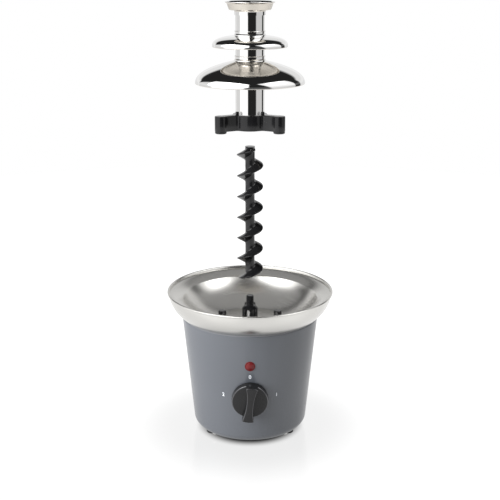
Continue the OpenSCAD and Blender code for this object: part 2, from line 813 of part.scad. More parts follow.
module gearbox_tray() {
    color("#d9d6cc") difference() {
        union() {
            difference() {
                translate([0, 0, tray_z]) linear_extrude(lid_z - tray_z) gearbox_case_outline();
                translate([0, 0, cavity_z]) linear_extrude(cavity_h + past) gearbox_outline(0);
            }
            translate([0, 0, cavity_z - past]) cylinder(r = 1.45 * shaft_r, h = boss_h + past);
            translate([idler_at[0], idler_at[1], cavity_z - past])
                cylinder(r = 2 * idler_pin_r, h = boss_h + past);
        }
        translate([0, 0, cavity_z - pin_depth]) cylinder(r = shaft_r + run_fit, h = cavity_h);
        translate([idler_at[0], idler_at[1], cavity_z - pin_depth])
            cylinder(r = idler_pin_r + press_gap, h = cavity_h);
        translate([motor_at[0], motor_at[1], tray_z - past])
            cylinder(r = 2.25 * motor_shaft_r, h = gearbox_plate + 2 * past);
        for (side = [-1, 1]) translate([motor_at[0], motor_at[1] + side * motor_screw_ring, tray_z - past])
            cylinder(r = small_screw_r + hole_fit, h = gearbox_plate + 2 * past);
        ear_holes(tray_z - past, lid_z - tray_z + 2 * past);
    }
}

module gearbox_screws() {
    color(steel) for (e = ears) translate([e[0], e[1], tray_z])
        screw(small_screw_r, small_head_r, small_head_h, insulation_z - tray_z);
}

module idler_pin() {
    color(steel) translate([idler_at[0], idler_at[1], cavity_z - pin_depth])
        cylinder(r = idler_pin_r, h = cavity_h + 1.8 * pin_depth);
}

// Involute tooth flanks, from the root to the tip
function roll(r, base_r) = r <= base_r ? 0 : sqrt(pow(r / base_r, 2) - 1) * 180 / PI;
function flank_angle(t) = t - atan(t * PI / 180);
function flank(teeth, steps = 5) =
    let (
        pitch_r = gear_module * teeth / 2,
        base_r = pitch_r * cos(pressure_angle),
        start_r = max(base_r, pitch_r - dedendum),
        tip_r = pitch_r + addendum,
        half = 90 / teeth - backlash / 2 / pitch_r * 180 / PI + flank_angle(roll(pitch_r, base_r))
    )
    [for (i = [0 : steps])
        let (r = start_r + (tip_r - start_r) * i / steps)
        [r, half - flank_angle(roll(r, base_r))]];

module spur_gear(teeth, h, phase) {
    side = flank(teeth);
    root_r = gear_module * teeth / 2 - dedendum;
    rotate([0, 0, phase]) linear_extrude(h) polygon([
        for (k = [0 : teeth - 1])
            let (
                turn = k * 360 / teeth,
                rising = [for (p = side) [p[0], turn - p[1]]],
                falling = [for (i = [len(side) - 1 : -1 : 0]) [side[i][0], turn + side[i][1]]],
                root = root_r < side[0][0] - 0.01
                    ? [[root_r, turn - side[0][1]], [root_r, turn + side[0][1]]] : []
            )
            for (p = concat(
                len(root) > 0 ? [root[0]] : [], rising, falling, len(root) > 0 ? [root[1]] : []))
                p[0] * [cos(p[1]), sin(p[1])]
    ]);
}

module output_gear() {
    color(white) difference() {
        translate([0, 0, cavity_z + high_stage_z]) spur_gear(gear_teeth, high_stage_w, 0);
        translate([0, 0, cavity_z]) cylinder(r = shaft_r + press_gap, h = cavity_h);
    }
}

module shaft_clip() {
    color(steel) translate([0, 0, cavity_z + high_stage_z + high_stage_w])
        ring(shaft_r + 2.2, shaft_r + press_gap, 1);
}

module idler_gear() {
    color(white) translate([idler_at[0], idler_at[1], cavity_z]) difference() {
        union() {
            translate([0, 0, low_stage_z]) spur_gear(gear_teeth, low_stage_w, 0);
            translate([0, 0, low_stage_z + low_stage_w])
                spur_gear(pinion_teeth, high_stage_w + stage_gap, idler_pinion_phase);
        }
        cylinder(r = idler_pin_r + run_fit, h = cavity_h);
    }
}

// The motor's pinion is wider than the gear that it drives
tip_room = 0.4;

module motor_pinion() {
    color(brass) translate([motor_at[0], motor_at[1], cavity_z]) difference() {
        translate([0, 0, low_stage_z - tip_room])
            spur_gear(pinion_teeth, low_stage_w + 2 * tip_room, motor_pinion_phase);
        cylinder(r = motor_shaft_r + press_gap, h = cavity_h);
    }
}

motor_bottom = tray_z - motor_len;

module motor_can() {
    color("#9a9a9c") translate([motor_at[0], motor_at[1], 0]) difference() {
        translate([0, 0, motor_bottom]) cylinder(r = motor_r, h = motor_len);
        translate([0, 0, motor_bottom - past])
            cylinder(r = motor_r - motor_wall, h = motor_len - 2 * motor_wall + past);
        translate([0, 0, motor_bottom]) cylinder(r = motor_shaft_r + run_fit, h = motor_len + past);
        for (side = [-1, 1]) translate([0, side * motor_screw_ring, tray_z - 3 * motor_wall])
            cylinder(r = small_screw_r + press_gap, h = 4 * motor_wall);
    }
}

magnet_gap = 1.5 * magnet_t;
magnet_len = motor_len - 2 * motor_wall - motor_cap_h - magnet_gap;

module motor_magnets() {
    magnet_out = motor_r - motor_wall - press_gap;
    color("#4a4a4c") translate([motor_at[0], motor_at[1], motor_bottom + motor_cap_h])
        difference() {
            ring(magnet_out, magnet_out - magnet_t, magnet_len);
            translate([-magnet_gap / 2, -motor_r, -past])
                cube([magnet_gap, 2 * motor_r, magnet_len + 2 * past]);
        }
}

// The cap's bearing hole stops short of the outside
cap_skin = 0.2 * motor_cap_h;

module motor_cap() {
    plug = motor_cap_h / 2;
    color(black) translate([motor_at[0], motor_at[1], motor_bottom - motor_cap_h]) difference() {
        union() {
            cylinder(r = motor_r, h = motor_cap_h);
            cylinder(r = motor_r - motor_wall - press_gap, h = motor_cap_h + plug);
            for (side = [-1, 1]) translate([side * motor_r / 2, 0, 0]) spade_tab();
        }
        translate([0, 0, cap_skin]) cylinder(r = motor_shaft_r + run_fit, h = motor_cap_h + plug);
    }
}

module motor_screws() {
    head_r = 2.4;
    head_h = 1.4;
    color(steel) for (side = [-1, 1])
        translate([motor_at[0], motor_at[1] + side * motor_screw_ring, cavity_z]) mirror([0, 0, 1])
            screw(small_screw_r, head_r, head_h, gearbox_plate + 1.8 * motor_wall);
}

module motor_shaft() {
    bottom = motor_bottom - motor_cap_h + cap_skin + end_gap;
    top = cavity_z + low_stage_z + low_stage_w + tip_room;
    color(steel) translate([motor_at[0], motor_at[1], bottom]) cylinder(r = motor_shaft_r, h = top - bottom);
}

module motor_armature() {
    armature_r = motor_r - motor_wall - magnet_t - air_gap - press_gap;
    slot_w = 2;
    slots = 5;
    color(copper) translate([motor_at[0], motor_at[1], motor_bottom + motor_cap_h + 1]) difference() {
        cylinder(r = armature_r, h = magnet_len - 2);
        for (k = [0 : slots - 1]) rotate([0, 0, k * 360 / slots])
            translate([armature_r / 2, -slot_w / 2, -past])
                cube([armature_r, slot_w, magnet_len + 2 * past]);
        translate([0, 0, -past]) cylinder(r = motor_shaft_r + press_gap, h = magnet_len + 2 * past);
    }
}

module drive_shaft() {
    bottom = cavity_z - pin_depth + end_gap;
    color(steel) {
        translate([0, 0, bottom]) cylinder(r = shaft_r, h = hub_ceiling - bottom);
        translate([0, 0, bottom]) cylinder(r = shaft_pin_r, h = hub_ceiling + shaft_pin_len - bottom);
    }
}

// Arched opening in the hub's skirt, cut outwards from the middle
module hub_arch() {
    below_cone = 0.4;
    top = hub_seat - hub_cone_h - below_cone - arch_w / 2;
    inner = neck_r + 0.3;
    translate([inner, -arch_w / 2, hub_bottom - past]) cube([hub_r, arch_w, top - hub_bottom + past]);
    translate([inner, 0, top]) rotate([0, 90, 0]) cylinder(r = arch_w / 2, h = hub_r);
}

module spindle_flat_cut(gap, z, h) {
    translate([-2 * spindle_r, spindle_r - spindle_flat + gap, z]) cube([4 * spindle_r, spindle_r, h]);
}

module drive_hub() {
    tip = 0.8;
    cone_z = hub_seat - hub_cone_h;
    color(black) difference() {
        rotate_extrude() polygon([
            [0, hub_bottom], [hub_r, hub_bottom], [hub_r, cone_z], [hub_seat_r, hub_seat],
            [spindle_r, hub_seat], [spindle_r, spindle_top - tip], [spindle_r - tip, spindle_top],
            [0, spindle_top]
        ]);
        translate([0, 0, hub_bottom - past])
            cylinder(r = hub_r - hub_wall, h = hub_ceiling - hub_bottom + past);
        translate([0, 0, hub_bottom])
            cylinder(r = shaft_pin_r + press_gap, h = hub_ceiling - hub_bottom + shaft_pin_len + 0.2);
        for (a = arch_angles) rotate([0, 0, a]) hub_arch();
        spindle_flat_cut(0, hub_seat + 1, spindle_h);
    }
}

// One turn of the flight rises by the pitch, right-handed
flight_steps = 30;
flight_turns = (auger_len - flight_root - 0.2) / flight_pitch;
flight_rings = ceil(flight_turns * flight_steps);
function flight_ring(i) =
    let (
        turn = 360 * flight_turns * i / flight_rings,
        z = flight_root / 2 + 0.1 + flight_pitch * turn / 360,
        a = flight_start + 360 * (flight_root / 2 + 0.1) / flight_pitch + turn,
        root_r = auger_shaft_r - 0.4
    )
    [for (p = [[root_r, -flight_root / 2], [flight_r, -flight_edge / 2],
               [flight_r, flight_edge / 2], [root_r, flight_root / 2]])
        [p[0] * cos(a), p[0] * sin(a), z + p[1]]];

module flight() {
    n = flight_rings;
    points = [for (i = [0 : n]) each flight_ring(i)];
    sides = [for (i = [0 : n - 1]) for (k = [0 : 3])
        let (a = 4 * i + k, b = 4 * i + (k + 1) % 4)
        each [[a, b, a + 4], [b, b + 4, a + 4]]];
    first = [[0, 2, 1], [0, 3, 2]];
    last = [[4 * n, 4 * n + 1, 4 * n + 2], [4 * n, 4 * n + 2, 4 * n + 3]];
    polyhedron(points, concat(sides, first, last));
}

module auger() {
    bore_r = spindle_r + hole_fit;
    bore_h = spindle_h + 1;
    color(black) translate([0, 0, auger_z]) {
        difference() {
            cylinder(r = auger_shaft_r, h = auger_len);
            difference() {
                translate([0, 0, -past]) cylinder(r = bore_r, h = bore_h + past);
                spindle_flat_cut(hole_fit, 1 + seat_gap, bore_h);
            }
        }
        flight();
    }
}

module tower_foot() {
    clip_w = 4;
    clip_h = 3.2;
    clip_t = 2;
    pad_step = 0.2;
    arm_h = tower_foot_h - arm_clear;
    socket_h = peg_h + 3 * seat_gap;
    color(black) translate([0, 0, tower_z]) difference() {
        union() {
            translate([0, 0, arm_clear]) linear_extrude(arm_h) {
                circle(r = foot_hub_r);
                for (a = leg_angles) rotate([0, 0, a]) {
                    translate([0, -arm_w / 2]) square([leg_ring, arm_w]);
                    translate([leg_ring, 0]) circle(r = leg_r);
                }
            }
            around(leg_angles, leg_ring) cylinder(r = leg_r - pad_step, h = tower_foot_h / 2);
            for (a = leg_angles) rotate([0, 0, a])
                translate([tube_r - past, -clip_w / 2, tower_foot_h - past])
                    cube([clip_t + past, clip_w, clip_h + past]);
        }
        translate([0, 0, -past]) cylinder(r = tube_r - tube_wall, h = tower_foot_h + 2 * past);
        translate([0, 0, tube_bottom]) cylinder(r = tube_r + press_gap, h = tower_foot_h + clip_h);
        around(leg_angles, leg_ring) translate([0, 0, -past])
            cylinder(r = peg_r + lift_fit, h = socket_h + past);
    }
}

module tower_tube() {
    color(chrome) translate([0, 0, tower_z + tube_bottom])
        ring(tube_r, tube_r - tube_wall, crown_z + sheet_t - tube_bottom);
}

// Line of a dome from its edge to the tube
function dome_line(edge_r, h, round, blunt, steps) =
    let (end = acos(pow((tube_r + press_gap) / edge_r, round / 2)))
    [for (i = [0 : steps]) let (a = end * i / steps)
        [edge_r * pow(cos(a), 2 / round), h * pow(sin(a), 2 / blunt)]];

// A domed tier, with a collar that stands on the dome around the tube
module tier(edge_r, h, round, blunt) {
    steps = 18;
    outside = dome_line(edge_r, h, round, blunt, steps);
    inside = dome_line(edge_r - sheet_t, h - sheet_t, round, blunt, steps);
    bore_r = tube_r + press_gap;
    foot = inside[steps][1];
    rotate_extrude() {
        polygon(concat(outside, [for (i = [steps : -1 : 0]) inside[i]]));
        translate([bore_r, foot]) square([collar_wall, outside[steps][1] + collar_h - foot]);
    }
}

module lower_tier() {
    color(chrome) translate([0, 0, tower_z + lower_z])
        tier(lower_r, lower_h, lower_round, lower_blunt);
}

module middle_tier() {
    color(chrome) translate([0, 0, tower_z + middle_z])
        tier(middle_r, middle_h, middle_round, middle_blunt);
}

module crown() {
    bore_r = tube_r + press_gap;
    collar_r = bore_r + collar_wall;
    bend = 1.6;
    color(chrome) translate([0, 0, tower_z]) rotate_extrude() polygon([
        [bore_r, crown_z - collar_h], [collar_r, crown_z - collar_h], [collar_r, crown_z],
        [crown_low_r - bend, crown_z], [crown_low_r, crown_z + bend / 2],
        [crown_r, tower_h], [crown_r - 1.4 * sheet_t, tower_h],
        [crown_low_r - 1.2 * sheet_t, crown_z + bend / 2 + sheet_t / 2],
        [crown_low_r - bend - sheet_t / 2, crown_z + sheet_t], [bore_r, crown_z + sheet_t]
    ]);
}

// Hourglass outline of the grip
module grip_outline() {
    reach = knob_r + grip_over;
    scoop = (grip_end_w - grip_waist_w) / 2;
    scoop_r = (pow(reach, 2) + pow(scoop, 2)) / (2 * scoop);
    difference() {
        translate([-grip_end_w / 2, -reach]) square([grip_end_w, 2 * reach]);
        for (side = [-1, 1])
            translate([side * (grip_waist_w / 2 + scoop_r), 0]) circle(r = scoop_r, $fn = 360);
    }
}

module knob() {
    rim = 1.2;
    nut_room = 3.4;
    disc_top = knob_gap + knob_disc_t;
    color(black) on_wall(knob_z) difference() {
        union() {
            rotate_extrude() polygon([
                [0, knob_gap], [knob_r, knob_gap], [knob_r, disc_top - rim],
                [knob_r - rim, disc_top], [0, disc_top]
            ]);
            rotate([0, 0, -grip_turn]) intersection() {
                translate([0, 0, disc_top - past]) linear_extrude(grip_h + past) grip_outline();
                cylinder(r = knob_r + grip_over, h = 4 * knob_disc_t);
            }
        }
        translate([0, 0, -past]) cylinder(r = switch_neck_r + 5, h = past + nut_room);
        cylinder(r = switch_shaft_r + press_gap, h = shaft_out);
    }
}

// The switch's shaft runs from inside the switch into the grip
shaft_in = wall_seat - 0.6 * switch_d;
shaft_out = knob_gap + knob_disc_t + grip_h / 2;

module switch_shaft() {
    color(steel) on_wall(knob_z) translate([0, 0, shaft_in])
        cylinder(r = switch_shaft_r, h = shaft_out - end_gap - shaft_in);
}

module switch_body() {
    neck_out = 2.4;
    color("#2a2a2d") on_wall(knob_z) difference() {
        union() {
            translate([-switch_w / 2, -switch_w / 2, wall_seat - switch_d])
                cube([switch_w, switch_w, switch_d]);
            translate([0, 0, wall_seat - 1]) cylinder(r = switch_neck_r, h = neck_out - wall_seat + 1);
            for (side = [-1, 1]) for (row = [-1, 1])
                translate([side * switch_w / 4, row * switch_w / 4, wall_seat - switch_d])
                    rotate([0, 0, 90]) spade_tab();
        }
        translate([0, 0, shaft_in - end_gap])
            cylinder(r = switch_shaft_r + run_fit, h = switch_d + 4 * housing_wall);
    }
}

module switch_nut() {
    nut_t = 2;
    color(steel) on_wall(knob_z) difference() {
        cylinder(r = switch_neck_r + 3, h = nut_t, $fn = 6);
        translate([0, 0, -past]) cylinder(r = switch_neck_r + press_gap, h = nut_t + 2 * past);
    }
}

// Length of the lens's stem inside its holder
lens_grip = 3;

module lamp_lens() {
    flange = 0.8;
    dome_edge_r = lens_r - 0.6;
    dome_h = lens_h - flange;
    ball_r = (pow(dome_edge_r, 2) + pow(dome_h, 2)) / (2 * dome_h);
    color(lens_red) on_wall(lamp_z) {
        cylinder(r = lens_r, h = flange);
        translate([0, 0, wall_seat - lens_grip])
            cylinder(r = lens_stem_r, h = flange - wall_seat + lens_grip);
        rotate_extrude() intersection() {
            translate([0, lens_h - ball_r]) circle(r = ball_r, $fn = 180);
            square([lens_r, lens_h]);
        }
    }
}

module lamp_holder() {
    depth = lens_grip + hole_fit;
    color(black) on_wall(lamp_z) difference() {
        translate([0, 0, wall_seat - holder_d]) cylinder(r = holder_r, h = holder_d);
        translate([0, 0, wall_seat - depth]) cylinder(r = lens_stem_r + press_gap, h = depth + past);
    }
}

gland_in = 9;

module cord_gland() {
    color(black) on_wall(gland_z, 180) difference() {
        union() {
            rotate_extrude() polygon([
                [0, 0], [gland_flange_r, 0], [gland_flange_r, gland_flange_t / 2],
                [gland_flange_r - gland_flange_t / 2, gland_flange_t], [0, gland_flange_t]
            ]);
            translate([0, 0, wall_seat - gland_in])
                cylinder(r = gland_body_r, h = gland_in - wall_seat + gland_flange_t / 2);
        }
        translate([0, 0, wall_seat - gland_in - past])
            cylinder(r = gland_bore_r, h = gland_in - wall_seat + gland_flange_t + 2 * past);
    }
}

module gland_nut() {
    nut_t = 4;
    color(black) on_wall(gland_z, 180) translate([0, 0, wall_seat - nut_t]) difference() {
        cylinder(r = gland_body_r + 4, h = nut_t, $fn = 6);
        translate([0, 0, -past]) cylinder(r = gland_body_r + press_gap, h = nut_t + 2 * past);
    }
}

module terminal_block() {
    ways = 3;
    step = block_w / ways;
    at_y = 10;
    screw_well_r = 2.2;
    screw_well_h = 6;
    wire_r = 1.6;
    wire_z = 4.5;
    color(white) translate([-block_w / 2, at_y, foot_h + cover_t]) difference() {
        cube([block_w, block_d, block_h]);
        for (k = [0 : ways - 1]) translate([(k + 0.5) * step, 0, 0]) {
            translate([0, block_d / 2, block_h - screw_well_h])
                cylinder(r = screw_well_r, h = screw_well_h + past);
            translate([0, -past, wire_z]) rotate([-90, 0, 0]) cylinder(r = wire_r, h = block_d + 2 * past);
        }
    }
}

housing();
bottom_cover();
cover_screws();
rubber_feet();
chassis_screws();
bowl();
bowl_gasket();
tower_pegs();
standoffs();
standoff_screws();
bearing_pedestal();
pedestal_gasket();
shaft_seal();
heater_plate();
heater_element();
heater_terminals();
thermostat();
thermal_fuse();
insulation_disc();
chassis_plate();
gearbox_lid();
gearbox_tray();
gearbox_screws();
idler_pin();
motor_can();
motor_magnets();
motor_cap();
motor_screws();
switch_body();
switch_nut();
lamp_lens();
lamp_holder();
cord_gland();
gland_nut();
terminal_block();
drive_shaft();
output_gear();
shaft_clip();
drive_hub();
idler_gear();
motor_shaft();
motor_pinion();
motor_armature();
knob();
switch_shaft();
auger();
tower_foot();
tower_tube();
lower_tier();
middle_tier();
crown();
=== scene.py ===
"""Looks of a table-top chocolate fountain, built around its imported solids.

Metres, in the solids' own frame: +Z up, the knob towards -Y, the origin on the table
below the middle of the bowl. The tower and the auger hang above the base, taken off.
"""

import json
import math

import bmesh
import bpy
from mathutils import Matrix, Vector


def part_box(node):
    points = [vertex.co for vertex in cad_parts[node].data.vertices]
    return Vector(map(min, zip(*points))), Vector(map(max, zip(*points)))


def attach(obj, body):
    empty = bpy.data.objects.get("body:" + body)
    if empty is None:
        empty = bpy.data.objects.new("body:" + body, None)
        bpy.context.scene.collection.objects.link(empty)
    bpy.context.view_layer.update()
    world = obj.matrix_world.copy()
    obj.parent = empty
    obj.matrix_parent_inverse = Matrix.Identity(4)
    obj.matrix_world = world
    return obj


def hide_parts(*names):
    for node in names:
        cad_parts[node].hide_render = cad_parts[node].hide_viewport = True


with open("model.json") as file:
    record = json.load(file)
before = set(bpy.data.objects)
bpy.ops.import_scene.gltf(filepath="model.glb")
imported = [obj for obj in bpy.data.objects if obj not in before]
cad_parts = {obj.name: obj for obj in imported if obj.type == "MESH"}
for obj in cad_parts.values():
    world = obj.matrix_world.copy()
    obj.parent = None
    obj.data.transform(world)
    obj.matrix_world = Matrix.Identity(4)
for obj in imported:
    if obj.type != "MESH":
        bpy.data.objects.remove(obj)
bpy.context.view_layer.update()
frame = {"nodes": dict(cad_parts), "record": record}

MM = 0.001
SCENE = bpy.context.scene

# Camera
CAMERA_BACK = 1067.3 * MM
CAMERA_UP = 518.1 * MM
CAMERA_TILT = math.radians(16.16)
CAMERA_LENS = 72.1


def add_camera():
    data = bpy.data.cameras.new("camera")
    data.lens = CAMERA_LENS
    camera = bpy.data.objects.new("camera", data)
    camera.location = (0, -CAMERA_BACK, CAMERA_UP)
    camera.rotation_euler = (math.pi / 2 - CAMERA_TILT, 0, 0)
    SCENE.collection.objects.link(camera)
    SCENE.camera = camera


add_camera()


# Shader maths

class Value:
    """A socket of a node tree that takes part in plain arithmetic."""

    def __init__(self, nodes, socket):
        self.nodes = nodes
        self.socket = socket

    def math(self, operation, *terms):
        return self.nodes.add("Math", {"operation": operation}, dict(enumerate(terms)))

    def __add__(self, other):
        return self.math("ADD", self, other)

    def __radd__(self, other):
        return self.math("ADD", other, self)

    def __sub__(self, other):
        return self.math("SUBTRACT", self, other)

    def __rsub__(self, other):
        return self.math("SUBTRACT", other, self)

    def __mul__(self, other):
        return self.math("MULTIPLY", self, other)

    def __rmul__(self, other):
        return self.math("MULTIPLY", other, self)

    def __truediv__(self, other):
        return self.math("DIVIDE", self, other)

    def step(self, low, high):
        """0 below low, 1 above high, smooth between them."""
        settings = {"interpolation_type": "SMOOTHSTEP"}
        sockets = {"Value": self, "From Min": low, "From Max": high}
        return self.nodes.add("MapRange", settings, sockets)

    def between(self, low, high, soft):
        """1 from low to high, with soft edges."""
        return self.step(low - soft, low + soft) * (1 - self.step(high - soft, high + soft))


class Nodes:
    """A node tree to which nodes are added one call at a time."""

    def __init__(self, tree):
        self.tree = tree

    def put(self, socket, value):
        if isinstance(value, Value):
            self.tree.links.new(value.socket, socket)
        else:
            socket.default_value = value

    def add(self, kind, settings=None, sockets=None, out=0):
        node = self.tree.nodes.new("ShaderNode" + kind)
        for name, value in (settings or {}).items():
            setattr(node, name, value)
        for name, value in (sockets or {}).items():
            self.put(node.inputs[name], value)
        return Value(self, node.outputs[out])

    def blend(self, share, first, second):
        """Colour between first and second."""
        colour_sockets = {0: share, 6: first, 7: second}
        return self.add("Mix", {"data_type": "RGBA"}, colour_sockets, out=2)

    def place(self):
        return self.add("TexCoord", out="Object")

    def noise(self, scale, detail=2.0, place=None):
        sockets = {"Vector": place or self.place(), "Scale": scale, "Detail": detail}
        return self.add("TexNoise", None, sockets)

    def length(self, vector):
        return self.add("VectorMath", {"operation": "LENGTH"}, {0: vector}, out="Value")


class Finish(Nodes):
    """A material with one principled shader."""

    def __init__(self, name, **constants):
        self.material = bpy.data.materials.new(name)
        self.material.use_nodes = True
        super().__init__(self.material.node_tree)
        self.shader = self.tree.nodes["Principled BSDF"]
        for socket, value in constants.items():
            self.feed(socket.replace("_", " "), value)

    def feed(self, socket, value):
        self.put(self.shader.inputs[socket], value)

    def bump(self, height, strength, distance):
        sockets = {"Height": height, "Strength": strength, "Distance": distance}
        self.feed("Normal", self.add("Bump", None, sockets))


# Finishes

# Slope of the housing's wall, on which the knob stands
WALL_TAPER = 0.099
WALL_TILT = math.atan(WALL_TAPER)
KNOB_AXIS = (0, -math.cos(WALL_TILT), -math.sin(WALL_TILT))


def rgb(red, green, blue):
    return (red, green, blue, 1.0)


def housing_plastic():
    """Glossy moulded plastic, slate grey, with a faint cloudiness."""
    finish = Finish("housing_plastic", IOR=1.5, Coat_Roughness=0.06, Coat_Weight=0.35)
    cloud = finish.noise(14.0, 3.0)
    grain = finish.noise(900.0, 2.0)
    finish.feed("Base Color", finish.blend(cloud, rgb(0.056, 0.061, 0.071), rgb(0.066, 0.071, 0.081)))
    finish.feed("Roughness", 0.30 + 0.08 * cloud)
    finish.bump(grain, 0.04, 0.05 * MM)
    return finish.material


def bowl_steel():
    """Satin steel, spun, with fine rings around the axis."""
    finish = Finish("bowl_steel", Metallic=1.0)
    place = finish.place()
    along = {"W": finish.length(place), "Scale": 2600.0, "Detail": 3.0}
    rings = finish.add("TexNoise", {"noise_dimensions": "1D"}, along)
    cloud = finish.noise(22.0, 3.0, place)
    finish.feed("Base Color", finish.blend(cloud, rgb(0.63, 0.62, 0.595), rgb(0.68, 0.67, 0.645)))
    finish.feed("Roughness", 0.22 + 0.04 * cloud + 0.04 * rings)
    finish.bump(rings, 0.05, 0.04 * MM)
    return finish.material


def tower_chrome():
    """Bright plating with faint wipe marks, rougher where it faces down, with painted shade there: a
    darker, warm colour.
    """
    finish = Finish("tower_chrome", Metallic=1.0)
    smear = finish.noise(60.0, 4.0)
    facing = finish.add("SeparateXYZ", None, {0: finish.add("TexCoord", out="Normal")}, out="Z")
    # Painted shade: where the surface faces down, its colour turns a darker, warm grey; the same mask also
    # makes it rougher there
    under = (0 - facing).step(0.05, 0.35)
    bright = finish.blend(smear, rgb(0.86, 0.855, 0.845), rgb(0.91, 0.905, 0.895))
    painted_shade_colour = finish.blend(smear, rgb(0.58, 0.54, 0.48), rgb(0.66, 0.62, 0.56))
    finish.feed("Base Color", finish.blend(under, bright, painted_shade_colour))
    finish.feed("Roughness", 0.03 + 0.05 * smear + 0.18 * under)
    return finish.material


def black_plastic():
    """Satin black plastic with a fine moulded grain."""
    finish = Finish("black_plastic", IOR=1.42)
    cloud = finish.noise(40.0, 3.0)
    grain = finish.noise(1800.0, 2.0)
    finish.feed("Base Color", finish.blend(cloud, rgb(0.004, 0.004, 0.0045), rgb(0.009, 0.009, 0.0095)))
    finish.feed("Roughness", 0.11 + 0.06 * cloud)
    finish.bump(grain, 0.02, 0.05 * MM)
    return finish.material


def knob_plastic():
    """Black plastic of the knob, with a painted highlight on its edges: a lighter, metallic band."""
    finish = Finish("knob_plastic", IOR=1.38)
    cloud = finish.noise(60.0, 3.0)
    grain = finish.noise(1500.0, 2.0)
    facing = finish.add("TexCoord", out="Normal")
    ahead = finish.add("VectorMath", {"operation": "DOT_PRODUCT"}, {0: facing, 1: KNOB_AXIS}, out="Value")
    # Painted highlight: faces that lean away from the knob's axis (the rim's bevel and the grip's sides)
    # turn lighter and metallic
    edge = ahead.between(0.3, 0.88, 0.06)
    black = finish.blend(cloud, rgb(0.006, 0.006, 0.0065), rgb(0.011, 0.011, 0.0115))
    finish.feed("Base Color", finish.blend(edge, black, rgb(0.10, 0.10, 0.105)))
    finish.feed("Metallic", 0.9 * edge)
    finish.feed("Roughness", 0.20 + 0.08 * cloud - 0.06 * edge)
    finish.bump(grain, 0.06, 0.06 * MM)
    return finish.material


def foot_rubber():
    """Dull dark rubber."""
    finish = Finish("foot_rubber", IOR=1.48)
    cloud = finish.noise(120.0, 3.0)
    finish.feed("Base Color", finish.blend(cloud, rgb(0.012, 0.012, 0.013), rgb(0.024, 0.024, 0.025)))
    finish.feed("Roughness", 0.6 + 0.2 * cloud)
    finish.bump(cloud, 0.1, 0.05 * MM)
    return finish.material


def lamp_red():
    """Deep red clear plastic of the lamp."""
    finish = Finish("lamp_red", IOR=1.36)
    cloud = finish.noise(300.0, 2.0)
    finish.feed("Base Color", finish.blend(cloud, rgb(0.075, 0.006, 0.007), rgb(0.11, 0.009, 0.010)))
    finish.feed("Roughness", 0.2 + 0.1 * cloud)
    return finish.material


def number_ink():
    """Pale printing ink of the numbers."""
    finish = Finish("number_ink")
    cloud = finish.noise(500.0, 2.0)
    finish.feed("Base Color", finish.blend(cloud, rgb(0.70, 0.73, 0.77), rgb(0.76, 0.79, 0.83)))
    finish.feed("Roughness", 0.5 + 0.1 * cloud)
    return finish.material


def inner_finish(name, colour, metallic, roughness, grain):
    """Finish of a piece inside the housing: a colour that varies, with a grain per metre."""
    finish = Finish(name, Metallic=metallic)
    cloud = finish.noise(grain, 3.0)
    darker = [0.82 * channel for channel in colour]
    finish.feed("Base Color", finish.blend(cloud, rgb(*darker), rgb(*colour)))
    finish.feed("Roughness", roughness - 0.06 + 0.12 * cloud)
    finish.bump(cloud, 0.08, 0.05 * MM)
    return finish.material


INK = number_ink()
GASKET = inner_finish("gasket_grey", (0.12, 0.125, 0.135), 0.0, 0.6, 200.0)
FINISHES = {
    "housing_plastic": housing_plastic(),
    "bowl_steel": bowl_steel(),
    "tower_chrome": tower_chrome(),
    "black_plastic": black_plastic(),
    "knob_plastic": knob_plastic(),
    "foot_rubber": foot_rubber(),
    "lamp_red": lamp_red(),
    "bright_steel": inner_finish("bright_steel", (0.62, 0.61, 0.60), 1.0, 0.32, 260.0),
    "cast_aluminium": inner_finish("cast_aluminium", (0.58, 0.58, 0.58), 1.0, 0.48, 420.0),
    "silicone": inner_finish("silicone", (0.36, 0.05, 0.035), 0.0, 0.55, 200.0),
    "element_sheath": inner_finish("element_sheath", (0.30, 0.30, 0.31), 1.0, 0.45, 300.0),
    "ceramic": inner_finish("ceramic", (0.72, 0.70, 0.65), 0.0, 0.5, 350.0),
    "switch_plastic": inner_finish("switch_plastic", (0.030, 0.030, 0.033), 0.0, 0.45, 300.0),
    "mica": inner_finish("mica", (0.55, 0.49, 0.36), 0.0, 0.55, 90.0),
    "gear_plastic": inner_finish("gear_plastic", (0.70, 0.68, 0.60), 0.0, 0.4, 150.0),
    "motor_steel": inner_finish("motor_steel", (0.42, 0.42, 0.43), 1.0, 0.4, 180.0),
    "ferrite": inner_finish("ferrite", (0.07, 0.07, 0.072), 0.0, 0.65, 500.0),
    "pinion_brass": inner_finish("pinion_brass", (0.60, 0.43, 0.17), 1.0, 0.3, 300.0),
    "winding_copper": inner_finish("winding_copper", (0.55, 0.26, 0.12), 1.0, 0.4, 700.0),
}


def dress_solids():
    """Gives every solid of the frame the finish of its slot."""
    for part in frame["record"]["subparts"]:
        materials = frame["nodes"][part["node"]].data.materials
        materials.clear()
        materials.append(FINISHES[part["material_slot"]])
    frame["nodes"]["bowl_gasket"].data.materials[0] = GASKET


dress_solids()


# Outlines and meshes

# A radius below this is a pole of a turned mesh
POLE = 1e-7
# The least cosine by which a corner of an outline is mitred
MITRE = 0.3


def arc(middle, radius, start, end, steps=8):
    """Points (x, y) of an arc in degrees, both ends included."""
    points = []
    for k in range(steps + 1):
        turn = math.radians(start + (end - start) * k / steps)
        points.append((middle[0] + radius * math.cos(turn), middle[1] + radius * math.sin(turn)))
    return points


def skin(mesh, rings, closed):
    """Faces between rings of vertices; a ring of one vertex is a pole."""
    pairs = list(zip(rings, rings[1:]))
    if closed:
        pairs.append((rings[-1], rings[0]))
    for low, high in pairs:
        for k in range(max(len(low), len(high))):
            corners = (low[k % len(low)], low[(k + 1) % len(low)],
                       high[(k + 1) % len(high)], high[k % len(high)])
            corners = list(dict.fromkeys(corners))
            if len(corners) > 2:
                mesh.faces.new(corners)


